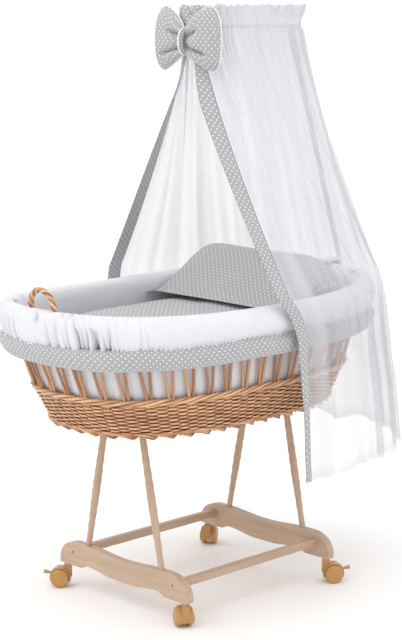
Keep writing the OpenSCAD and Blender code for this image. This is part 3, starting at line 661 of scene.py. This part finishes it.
# The rim cover's section, from its inner edge over the rim to its lower edge: out from the wall at the ends
# and at the sides, up from the rim, and its share of the rise at the ends
SECTION = [(-0.0125, -0.0125, -0.062, 0.0), (-0.0150, -0.0150, -0.045, 0.2), (-0.0200, -0.0200, -0.022, 0.7),
           (-0.0235, -0.0235, -0.002, 1.0), (-0.0210, -0.0210, 0.0110, 1.0), (-0.013, -0.013, 0.0170, 1.0),
           (-0.002, -0.002, 0.0180, 1.0), (0.009, 0.013, 0.0120, 1.0), (0.0165, 0.025, 0.000, 0.7),
           (0.0200, 0.030, -0.016, 0.35), (0.0195, 0.0275, -0.029, 0.1), (0.0175, 0.0235, -0.037, 0.0),
           (0.0215, 0.0275, -0.042, 0.0)]
SECTION_STEPS = 4       # points made from each of the section's
COVER_TOP = 5           # the crest's place in the section
COVER_SEAM = 11         # and the lower seam's
COVER_CLEAR = RIM_R + 0.0025    # the cloth stays this far from the rim border's middle


def rim_cover():
    section = smooth(SECTION, SECTION_STEPS)
    cols = 2000
    share = np.linspace(0, 1, cols, endpoint=False)[:, None]
    run = along(section[:, :3])
    crest, seam = run[SECTION_STEPS * COVER_TOP], run[SECTION_STEPS * COVER_SEAM]
    face = np.clip((run - crest) / (seam - crest), 0, 1)[None]
    inside = np.clip((crest - run) / crest, 0, 1)[None]
    below = np.clip((run - seam) / (run[-1] - seam), 0, 1)[None]
    deep = corner_creases(share, face, 21,
                          closest=0.0125, widest=0.050, depth=0.0200, narrow=0.0046, wide=0.0080)
    fine = corner_creases(share, face, 22,
                          closest=0.0075, widest=0.040, depth=0.0075, narrow=0.0024, wide=0.0042)
    back = corner_creases(share, 1 - inside, 23,
                          closest=0.026, widest=0.060, depth=0.0130, narrow=0.006, wide=0.013)
    pull = (deep + fine) * (inside == 0) + back * (inside > 0) * ease(inside * 4)
    puff = 0.0022 * waves(share, (9, 14, 23, 31), 40) * np.sin(math.pi * face)
    frill = 0.0013 * np.sin(TAU * 170 * share + 5 * waves(share, (17, 29), 41)) * ease(below)
    gather = 0.0012 * np.sin(TAU * 230 * share + 3 * waves(share, (11, 19), 42))
    gather = gather * np.exp(-((face - 1) / 0.08) ** 2)
    side = np.where(inside > 0, 1.0, -1.0)
    out = section[None, :, 0] + side * pull + puff + frill + gather
    out_b = section[None, :, 1] + side * pull + puff + frill + gather
    z = RIM_Z + section[None, :, 2]
    z = z - (deep + fine) * 0.42 * np.sin(math.pi * np.clip(face * 1.5 + 0.08, 0, 1))
    z = z + ease(below) * (0.45 * deep + 0.0016 * waves(share, (23, 41, 67), 43))
    clear = [np.maximum(1, COVER_CLEAR / np.maximum(np.hypot(way, z - RIM_Z), 0.001)) for way in (out, out_b)]
    z = RIM_Z + (z - RIM_Z) * np.minimum(*clear)
    points = on_wall(share, z, out * clear[0], out_b * clear[1], COVER_RISE * section[None, :, 3])
    shape = Shape()
    shape.grid(points, round_cut(RIM_LENGTH, run, cols), loop_i=True)
    piece = shape.build("gathered_rim_cover", look_white, slot="white_cotton")
    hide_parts("rim_cover")


def liner():
    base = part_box("mattress")[0].z + 0.004
    section = smooth([(-0.0105, RIM_Z - 0.050, 0.1), (-0.0115, RIM_Z - 0.075, 0.0),
                      (-0.0120, RIM_Z - 0.10, 0.0), (-0.0122, WEAVE_Z + 0.02, 0.0),
                      (-0.0122, WEAVE_Z - 0.03, 0.0), (-0.0120, base, 0.0)], 7)
    cols = 520
    share = np.linspace(0, 1, cols, endpoint=False)[:, None]
    run = along(section[:, :2])
    v = (run / run[-1])[None]
    fold = waves(share + 0.004 * v, (21, 34, 47, 58), 60) * 0.0011
    soft = corner_creases(share, v, 61,
                          closest=0.03, widest=0.11, depth=0.004, narrow=0.0045, wide=0.010)
    out = section[None, :, 0] + fold * ease(v * 3) - 0.5 * soft
    points = on_wall(share, section[None, :, 1], out, None, COVER_RISE * section[None, :, 2])
    shape = Shape()
    shape.grid(points, round_cut(RIM_LENGTH, run, cols), loop_i=True)
    piece = shape.build("basket_liner", look_white, slot="white_cotton")
    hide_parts("liner")


# The padded band's section: out from the wall at the ends and at the sides, and up from the rim
BAND_SECTION = [(0.006, 0.009, -0.036), (0.0190, 0.0250, -0.0385), (0.0265, 0.0335, -0.046),
                (0.0303, 0.0382, -0.058), (0.0300, 0.0375, -0.070), (0.0245, 0.0310, -0.0805),
                (0.0140, 0.0190, -0.0835), (0.006, 0.009, -0.078), (0.004, 0.006, -0.056)]


def dotted_band():
    section = smooth([*BAND_SECTION, BAND_SECTION[0]], 4)[:-1]
    cols = 720
    share = np.linspace(0, 1, cols, endpoint=False)[:, None]
    whole = along(np.concatenate([section, section[:1]]))
    v = (whole[:-1] / whole[-1])[None]
    top = corner_creases(share, np.clip(1 - v * 3.2, 0, 1), 71,
                          closest=0.010, widest=0.022, depth=0.0022, narrow=0.0045, wide=0.010)
    low = corner_creases(share, np.clip((v - 0.2) * 2.6, 0, 1), 72,
                          closest=0.016, widest=0.035, depth=0.0016, narrow=0.0045, wide=0.010)
    wave = 0.0011 * waves(share, (12, 19, 27, 41), 73) * np.sin(math.pi * np.clip(v * 1.7, 0, 1))
    push = wave - top - low * (v > 0.2)
    points = on_wall(share, RIM_Z + section[None, :, 2] + 0.0008 * waves(share, (6, 11, 17), 74),
                     section[None, :, 0] + push, section[None, :, 1] + push)
    shape = Shape()
    shape.grid(points, round_cut(RIM_LENGTH * 1.05, whole, cols), loop_i=True, loop_j=True)
    piece = shape.build("dotted_rim_band", look_dots, slot="dotted_cotton")
    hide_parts("dotted_band")


# Quilt and pillow

def inflate(piece, pressure, cap, frames):
    """Blows a closed cloth up, no point by more than cap, then keeps the result."""
    start = np.array([v.co for v in piece.data.vertices])
    blow = piece.modifiers.new("Cloth", "CLOTH")
    s = blow.settings
    s.effector_weights.gravity = 0
    s.use_pressure = True
    s.uniform_pressure_force = pressure
    s.quality = 5
    s.mass = 0.25
    s.tension_stiffness = s.compression_stiffness = 18
    s.bending_stiffness = 0.4
    blow.point_cache.frame_start, blow.point_cache.frame_end = 1, frames
    scene = bpy.context.scene
    for f in range(1, frames + 1):
        scene.frame_set(f)
    ready = piece.evaluated_get(bpy.context.evaluated_depsgraph_get())
    end = np.array([v.co for v in ready.data.vertices])
    move = end - start
    far = np.linalg.norm(move, axis=1)[:, None]
    end = start + move * np.minimum(1, cap / np.maximum(far, 1e-9))
    piece.modifiers.clear()
    piece.data.vertices.foreach_set("co", end.reshape(-1))
    scene.frame_set(1)


def subdivide(piece):
    piece.modifiers.new("Soft", "SUBSURF").levels = 1
    apply_modifiers(piece)
    for face in piece.data.polygons:
        face.use_smooth = True


PILLOW_LONG = 0.468      # the inflated cloth draws in
PILLOW_WIDE = 0.270
PILLOW_SEAM = 0.018     # height of its seam over what it lies on
PILLOW_PUFF = 0.012     # the most that inflating moves a point
PILLOW_AT = (-0.012, 0.004)     # its middle from the middle of its node, along X, and from the centre line


def pillow():
    """Flat below, low at its front edge and full at the back, with corners that stand out a little."""
    low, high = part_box("pillow")
    y = np.linspace(-1, 1, 61)
    x = np.linspace(-1, 1, 45)
    gx, gy = np.meshgrid(x, y, indexing="ij")
    front = ease((1 + gx) / 1.45) ** 0.75
    back = (1 - np.clip((gx - 0.05) / 0.95, 0, 1) ** 1.9) ** 0.8
    ends = (1 - np.abs(gy) ** 8) ** 0.5
    top = (high.z - low.z - PILLOW_SEAM - 0.006) * front * back * ends
    under = (PILLOW_SEAM - 0.004) * (1 - gx ** 4) ** 0.5 * (1 - gy ** 4) ** 0.5
    narrow = 1 - 0.07 * (1 - gy ** 2)
    short = 1 - 0.05 * (1 - gx ** 2)
    shape = Shape()
    for side, height in ((1, top), (-1, -under)):
        points = np.stack([gx * PILLOW_WIDE / 2 * narrow, gy * PILLOW_LONG / 2 * short, height], -1)
        cut = np.stack([gx * PILLOW_WIDE / 2 * (1.0 + 0.12 * (side > 0)) + side, gy * PILLOW_LONG / 2], -1)
        shape.grid(points if side > 0 else points[:, ::-1], cut if side > 0 else cut[:, ::-1])
    piece = shape.build("dotted_pillow", look_dots, body=None, outwards=False)
    weld(piece, 0.0005)
    inflate(piece, 3.0, PILLOW_PUFF, 20)
    co = np.array([v.co for v in piece.data.vertices])
    co[:, 2] = np.where(co[:, 2] < 0, np.maximum(co[:, 2], 0.001 - PILLOW_SEAM), co[:, 2])
    co[:, 2] *= np.where(co[:, 2] > 0, (high.z - low.z - PILLOW_SEAM - 0.003) / co[:, 2].max(), 1)
    co += np.array(((low.x + high.x) / 2 + PILLOW_AT[0], PILLOW_AT[1], low.z + PILLOW_SEAM))
    piece.data.vertices.foreach_set("co", co.reshape(-1))
    subdivide(piece)
    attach(piece, ROOT)
    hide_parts("pillow")


def quilt():
    low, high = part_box("quilt")
    centre = (low + high) / 2
    a, b = (high.x - low.x) / 2, (high.y - low.y) / 2
    levels = smooth([(0.02, 0.02, high.z + 0.010), (0.35, 0.35, high.z + 0.009), (0.70, 0.70, high.z + 0.005),
                     (0.86, 0.86, high.z - 0.001), (0.95, 0.94, high.z - 0.012), (0.99, 0.985, high.z - 0.03),
                     (0.985, 0.98, high.z - 0.06), (0.94, 0.93, low.z + 0.01), (0.88, 0.86, low.z + 0.001),
                     (0.4, 0.4, low.z)], 5)
    cols = 220
    share = np.linspace(0, 1, cols, endpoint=False)
    turn = turn_at(share)
    rows = []
    pucker = make_creases(81, lambda s: 0.5, closest=0.03, widest=0.05, depth=0.006, narrow=0.0045, wide=0.01)
    for k, (la, lb, z) in enumerate(levels):
        x, y = outline(a * la, b * lb, turn)
        edge = math.exp(-((la - 0.93) / 0.10) ** 2) if k < len(levels) / 2 else 0.0
        dent = crease_depth(share[:, None], np.array([[0.9]]), pucker)[:, 0] * edge
        rest = 0.0022 * waves(share, (3, 5, 8), 90) * min(1, la * 1.2) * math.sin(math.pi * min(1, la))
        rows.append(np.stack([centre.x + x * (1 - dent), y * (1 - dent), z - 0.8 * dent + rest + 0 * x], -1))
    shape = Shape()
    shape.grid(np.array(rows), loop_j=True, caps=True)
    piece = shape.build("dotted_quilt", look_flat_dots, slot="dotted_cotton")
    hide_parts("quilt")


# Veil

VEIL_TOP = math.radians(167)    # angle of both front edges at the hoop, from the head end
VEIL_RIGHT = ((0.600, 0.640, 0.670, 0.690), (86.4, 87.6, 89.0, 90.0))   # angle of the right edge, by height
VEIL_LEFT = 86.6        # and of the left one
VEIL_FLARE = ((0.29, 0.42, 0.50, 0.60, 0.69), (0.055, 0.042, 0.024, 0.009, 0.0))    # spread at the head end
VEIL_N = 2.35
VEIL_SLOPE = 1.25       # above 1 the cloth drops steeply first and then spreads, but not over the pole
VEIL_FLAT = (1.60, 1.03)    # width and height of the flat cloth
HANG_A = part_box("veil")[1].x - BASKET_X - 0.052
HANG_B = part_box("veil")[1].y - 0.012
VEIL_RIM_Z = 0.690      # height at which the cloth stops spreading and hangs
BAND_W = 0.037
BAND_THICK = 0.0013     # from its middle to each face
BAND_PINCH = (1.080, 0.150)     # it narrows from this height up, over this much
# Height of each row of the veil's points, and its way out from the hoop's line or from the hanging oval
VEIL_RINGS = ((RUFFLE_TOP, 0.013), (RUFFLE_TOP - 0.012, 0.0115), (HOOP_Z + 0.016, 0.009),
              (HOOP_Z + 0.007, 0.0065), (HOOP_Z - 0.003, 0.007), (HOOP_Z - 0.012, 0.0085))
VEIL_DROP = ((0.665, -0.003), (0.64, 0.0), (0.60, 0.002), (0.55, 0.003), (0.50, 0.004), (0.45, 0.006),
             (0.40, 0.008), (0.36, 0.009), (0.32, 0.011), (HEM_Z + 0.012, 0.012), (HEM_Z, 0.012))


def veil_ring(t, grow, z):
    """A row of the veil on the hoop. t runs from -1 at the right front edge to 1 at the left one."""
    x, y = outline(HOOP_A + grow, HOOP_B + grow, t * VEIL_TOP, 2)
    return np.stack([HOOP_X + x, y, z + 0 * x], -1)


def veil_hang(t, grow, z):
    edge = np.radians(np.where(t > 0, VEIL_LEFT, np.interp(z, *VEIL_RIGHT)))
    x, y = outline(HANG_A + grow + np.interp(z, *VEIL_FLARE), HANG_B + grow, t * edge, VEIL_N)
    return np.stack([BASKET_X + x, y, z + 0 * x], -1)


def veil_rows(t):
    """Rows of points from the ruffle's top to the hem."""
    rows = [veil_ring(t, grow, z) for z, grow in VEIL_RINGS]
    top, low = veil_ring(t, 0.010, HOOP_Z - 0.02), veil_hang(t, -0.009, VEIL_RIM_Z)
    slope = 1 + (VEIL_SLOPE - 1) * np.minimum(1, np.abs(t) / 0.3)
    for s in np.linspace(0.03, 0.97, 22):
        row = top + (low - top) * (s ** slope)[:, None]
        row[:, 2] = top[:, 2] + (low[:, 2] - top[:, 2]) * s
        rows.append(row)
    rows += [low, *(veil_hang(t, grow, z) for z, grow in VEIL_DROP)]
    return np.array(rows)


def fold_wave(t, counts, seed):
    rng = random.Random(seed)
    total = sum(np.sin(TAU * (n * t * 0.5 + rng.random())) for n in counts)
    return total / math.sqrt(len(counts))


def veil():
    cols = 640
    t = np.linspace(-1, 1, cols)
    rows = veil_rows(t)
    down = along(rows[:, cols // 2])
    s = down / down[-1]
    side = np.gradient(rows, axis=1)
    side[..., 2] = 0
    side /= np.linalg.norm(side, axis=2)[..., None]
    outward = np.cross(side, (0, 0, 1))
    pleat = np.sin(TAU * 33 * t + 2.2 * fold_wave(t, (5, 9, 14), 5))
    ruffle = np.sin(TAU * 21 * t + 2.5 * fold_wave(t, (4, 7, 12), 6))
    fine = fold_wave(t, (23, 31, 37, 44), 7)
    big = fold_wave(t, (9, 13, 17, 22), 8)
    broad = fold_wave(t, (5, 8, 11), 9)
    edge = ease((1 - np.abs(t)) / 0.05)
    for k, share in enumerate(s):
        z = rows[k, 0, 2]
        above = ease((z - HOOP_Z - 0.004) / 0.03)
        tight = math.exp(-abs(share - 0.06) / 0.16)
        loose = ease((share - 0.05) / 0.75)
        push = (0.0045 * above * ruffle + 0.0024 * tight * pleat
                + 0.0026 * (1 - above) * fine * (1 - 0.4 * loose)
                + 0.0115 * loose * big + 0.0060 * loose * broad)
        if abs(z - HOOP_Z - 0.006) < 0.012:
            push = 0.0016 * pleat
        at_rim = math.exp(-((z - VEIL_RIM_Z + 0.02) / 0.07) ** 2)
        push = push * (1 - 0.55 * at_rim)
        rows[k] += outward[k] * (push * edge)[:, None]
    rows[0, :, 2] += 0.0020 * (ruffle + 0.6 * big) * edge
    rows[-1, :, 2] += 0.004 * broad * edge
    rows[-2, :, 2] += 0.004 * broad * edge
    tone = np.zeros((len(s), cols))
    strips = fold_wave(t, (11, 17, 26, 38), 10)
    for k, share in enumerate(s):
        z = rows[k, cols // 2, 2]
        tone[k] = 0.18 + 0.55 * math.exp(-share / 0.12) + (0.35 if z < HEM_Z + 0.02 else 0)
        tone[k] += 0.17 * strips * ease(share / 0.5)
    shape = Shape()
    u = down[:, None] + np.zeros(cols)
    v = np.linspace(0, VEIL_FLAT[0], cols)[None] + np.zeros((len(s), 1))
    shape.grid(rows, np.stack([u, v], -1), tone)
    piece = shape.build("veil_sheet", look_voile, slot="veil_voile", outwards=False)
    piece.visible_shadow = False        # so sheer that it leaves what is behind it in full light
    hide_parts("veil")


def veil_band(side, name, node):
    """A doubled strip of dotted cotton along one front edge of the veil."""
    rows = veil_rows(np.array([side * 0.97, side]))[1:]
    edge = rows[:, 1]
    ahead = rows[:, 1] - rows[:, 0]
    ahead[:, 2] *= 0.3
    ahead /= np.linalg.norm(ahead, axis=1)[:, None]
    normal = np.cross(ahead, np.gradient(edge, axis=0))
    normal /= np.linalg.norm(normal, axis=1)[:, None]
    fine_rows = smooth(np.concatenate([edge, ahead, normal], 1), 3)
    edge, ahead, normal = fine_rows[:, :3], fine_rows[:, 3:6], fine_rows[:, 6:9]
    run = along(edge)
    across = np.linspace(0, 1, 9)
    wide = BAND_W * (1 - 0.6 * np.clip((edge[:, 2] - BAND_PINCH[0]) / BAND_PINCH[1], 0, 1))
    wide = wide * (1 - 0.5 * ease((VEIL_RIM_Z - 0.02 - edge[:, 2]) / 0.25))
    shape = Shape()
    curl = 0.0016 * np.sin(run * 9)[:, None] * np.sin(math.pi * across)[None]
    centre = edge[:, None] + ahead[:, None] * (across[None, :] * wide[:, None])[..., None]
    for face in (1, -1):
        pad = BAND_THICK * np.sin(math.pi * np.clip(across, 0.08, 0.92)) ** 0.4
        pad[[0, -1]] = 0
        points = centre + normal[:, None] * (curl + face * pad[None])[..., None]
        cut = np.stack([run[:, None] + np.zeros(9), across[None] * wide[:, None] + face], -1)
        shape.grid(points if face > 0 else points[:, ::-1], cut if face > 0 else cut[:, ::-1])
    piece = shape.build(name, look_dots, slot="dotted_cotton", outwards=False)
    weld(piece, 0.0001)
    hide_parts(node)


# Bow

BOW = middle("bow")
BOW_LONG = half("bow").y
BOW_SWEEP = math.radians(8)
BOW_BACK = BOW.x + 0.014        # the plane of the wings' back seams, at the knot
# A wing's upper and lower edge: share of the way out from the knot, and millimetres from the bow's middle
WING_TOP = ((0, 0.1, 0.3, 0.5, 0.67, 0.8, 0.9, 0.96, 1), (24, 40, 56, 67, 73, 71, 62, 51, 34))
WING_LOW = ((0, 0.1, 0.3, 0.5, 0.7, 0.82, 0.92, 0.97, 1), (24, 32, 42, 51, 60, 61, 54, 44, 28))
WING_PUFF = 0.023       # depth of the padding
# Each fold that runs out from the knot: its height there, its slope, and the share of the wing it reaches
WING_FOLDS = ((0.0068, 0.036, 0.62), (-0.0085, -0.026, 0.85))
KNOT_HIGH = 0.027
PIPING_R = 0.0019


def bow_wing(side):
    """Front and back of one wing: a padded, rounded square with two folds that run out from the knot."""
    rows, cols = 72, 110
    v = (0.5 - 0.5 * np.cos(math.pi * np.linspace(0, 1, rows)))[:, None]
    w = np.linspace(-1, 1, cols)[None]
    up, down = np.interp(v, *WING_TOP) * 0.001, np.interp(v, *WING_LOW) * 0.001
    height = np.where(w > 0, up * w, down * w)
    reach = BOW_LONG * (v + 0.015 * v * (1 - w ** 2))
    outer = (1 - np.clip((v - 0.80) / 0.20, 0, 1) ** 2) ** 0.5
    inner = np.clip(v / 0.03, 0, 1) ** 0.5 * (0.45 + 0.55 * ease(v / 0.45))
    rim = np.maximum(0, 1 - np.abs(w) ** 2.4) ** 0.5
    puff = WING_PUFF * outer * inner * rim
    for start, slope, long in WING_FOLDS:
        away = np.abs(height - start - slope * v)
        fade = ease((long - v) / 0.35) * np.clip(v / 0.03, 0, 1)
        dip = 0.0060 * np.exp(-(away / 0.011) ** 1.5) + 0.0105 * np.exp(-(away / 0.0026) ** 1.3)
        puff = puff - fade * dip
    flat = outer * inner * rim
    grid = []
    for x in (-np.maximum(puff, 0.0015 * flat), 0.003 * flat):
        x = BOW_BACK + x + reach * math.sin(BOW_SWEEP)
        grid.append(np.stack([x, side * reach * math.cos(BOW_SWEEP), BOW.z + height], -1))
    return grid


def bow_fold():
    """The cloth that stands up behind the knot, between the wings, with a crease down its middle."""
    y = np.linspace(-0.050, 0.034, 40)[:, None]
    z = np.linspace(0.005, 0.073, 24)[None]
    back = 0.007 + 10.0 * np.maximum(0, y - 0.004) ** 2 + 5.0 * np.maximum(0, -y - 0.020) ** 2
    crease = 0.007 * np.exp(-np.abs(y + 0.012 - 0.10 * (z - 0.04)) / 0.0035)
    droop = 0.006 * np.abs(np.sin(math.pi * (y + 0.050) / 0.042)) - 0.004
    return np.stack([BOW_BACK + back + crease, y + 0 * z, BOW.z + z * (1 + droop * z / 0.005)], -1)


def bow():
    shape, piping = Shape(), Shape()
    for side in (1, -1):
        front, back = bow_wing(side)
        for face, points in ((1, back), (-1, front)):
            flip = (face > 0) == (side > 0)
            u = np.stack([along(points[:, j]) for j in range(points.shape[1])], 1)
            v = np.stack([along(row) for row in points])
            cut = np.stack([side * u + 0.3 * face, v - v[:, v.shape[1] // 2][:, None]], -1)
            shape.grid(points[:, ::-1] if flip else points, cut[:, ::-1] if flip else cut)
        rim = np.concatenate([front[:, -1], front[-1, ::-1][1:], front[::-1, 0][1:]])
        piping.tube(rim, PIPING_R, 8, 0.5, up=(1, 0, 0.05))
    piece = shape.build("bow_wings", look_dots, slot="dotted_cotton", outwards=False)
    weld(piece, 0.00005)
    turn = np.linspace(0, TAU, 36, endpoint=False)
    knot = Shape()
    for k in range(3):
        deep = 0.0120 - 0.0015 * abs(k - 1)
        path = np.stack([BOW_BACK - 0.004 - deep * np.cos(turn), (k - 1) * 0.0050 + 0 * turn,
                         BOW.z + (KNOT_HIGH - 0.004) * np.sin(turn)], -1)
        knot.tube(path, 0.0032, 8, 0.5, closed=True, up=(0, 1, 0))
    knot_piece = knot.build("bow_knot", look_dots, slot="dotted_cotton")
    loop = np.stack([BOW_BACK - 0.005 - 0.0155 * np.cos(turn), 0 * turn - 0.001,
                     BOW.z + KNOT_HIGH * np.sin(turn)], -1)
    piping.tube(loop, 0.0024, 8, 0.5, closed=True, up=(0, 1, 0))
    trim = piping.build("bow_piping", look_white, slot="white_cotton")
    fold = Shape()
    fold.grid(bow_fold())
    fold_piece = fold.build("bow_fold", look_dots, slot="dotted_cotton")
    fold_piece.modifiers.new("Thick", "SOLIDIFY").thickness = 0.003
    apply_modifiers(fold_piece)
    for part in (piece, knot_piece, trim, fold_piece):
        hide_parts("bow")


woven_wall()
waling()
foot_border()
stakes()
handle()
rim_cover()
liner()
dotted_band()
quilt()
pillow()
veil()
veil_band(1, "left_dotted_edge", "left_veil_band")
veil_band(-1, "right_dotted_edge", "right_veil_band")
bow()


# Stage

FLOOR_R = 120
# Each lamp's name, strength, softness in degrees, azimuth and height
SUNS = (("key", 0.66, 60, -100, 54), ("fill", 0.36, 70, -35, 60))


def stage():
    ground = bmesh.new()
    bmesh.ops.create_circle(ground, cap_ends=True, radius=FLOOR_R, segments=96)
    mesh = bpy.data.meshes.new("studio_floor")
    ground.to_mesh(mesh)
    ground.free()
    floor = bpy.data.objects.new("studio_floor", mesh)
    bpy.context.scene.collection.objects.link(floor)
    pale = Look("floor_look", Roughness=0.9)
    tint = pale.spread(pale.noise(pale.place(), 0.6, 2), 0.0, 1.0)
    mesh.materials.append(pale.set(Base_Color=pale.mix(tint, (0.93, 0.93, 0.93, 1), (0.94, 0.94, 0.94, 1))))
    world = bpy.data.worlds.new("studio")
    world.use_nodes = True
    background = world.node_tree.nodes["Background"]
    background.inputs["Color"].default_value = (1, 1, 1, 1)
    background.inputs["Strength"].default_value = WORLD
    bpy.context.scene.world = world
    for name, strength, size, azimuth, height in SUNS:
        lamp = bpy.data.lights.new(name, "SUN")
        lamp.energy, lamp.angle = strength, math.radians(size)
        holder = bpy.data.objects.new(name, lamp)
        a, e = math.radians(azimuth), math.radians(height)
        towards = Vector((math.sin(a) * math.cos(e), -math.cos(a) * math.cos(e), math.sin(e)))
        holder.rotation_euler = towards.to_track_quat("Z", "Y").to_euler()
        bpy.context.scene.collection.objects.link(holder)


CAMERA_YAW = math.radians(44.04)
CAMERA_PITCH = math.radians(10.40)
CAMERA_AWAY = 3.930     # distance from its aim
CAMERA_AIM_Z = 0.6016
CAMERA_SIDE = 0.008     # how far its aim is right of the origin
LENS = 101.2            # focal length, in millimetres


def camera():
    ahead = Vector((math.cos(CAMERA_PITCH) * math.sin(CAMERA_YAW),
                    math.cos(CAMERA_PITCH) * math.cos(CAMERA_YAW), -math.sin(CAMERA_PITCH)))
    right = Vector((math.cos(CAMERA_YAW), -math.sin(CAMERA_YAW), 0))
    lens = bpy.data.cameras.new("camera")
    lens.lens, lens.sensor_width = LENS, 36
    holder = bpy.data.objects.new("camera", lens)
    holder.location = Vector((0, 0, CAMERA_AIM_Z)) + right * CAMERA_SIDE - ahead * CAMERA_AWAY
    holder.rotation_euler = ahead.to_track_quat("-Z", "Y").to_euler()
    bpy.context.scene.collection.objects.link(holder)
    bpy.context.scene.camera = holder


stage()
camera()
bpy.context.scene.view_settings.view_transform = "Standard"
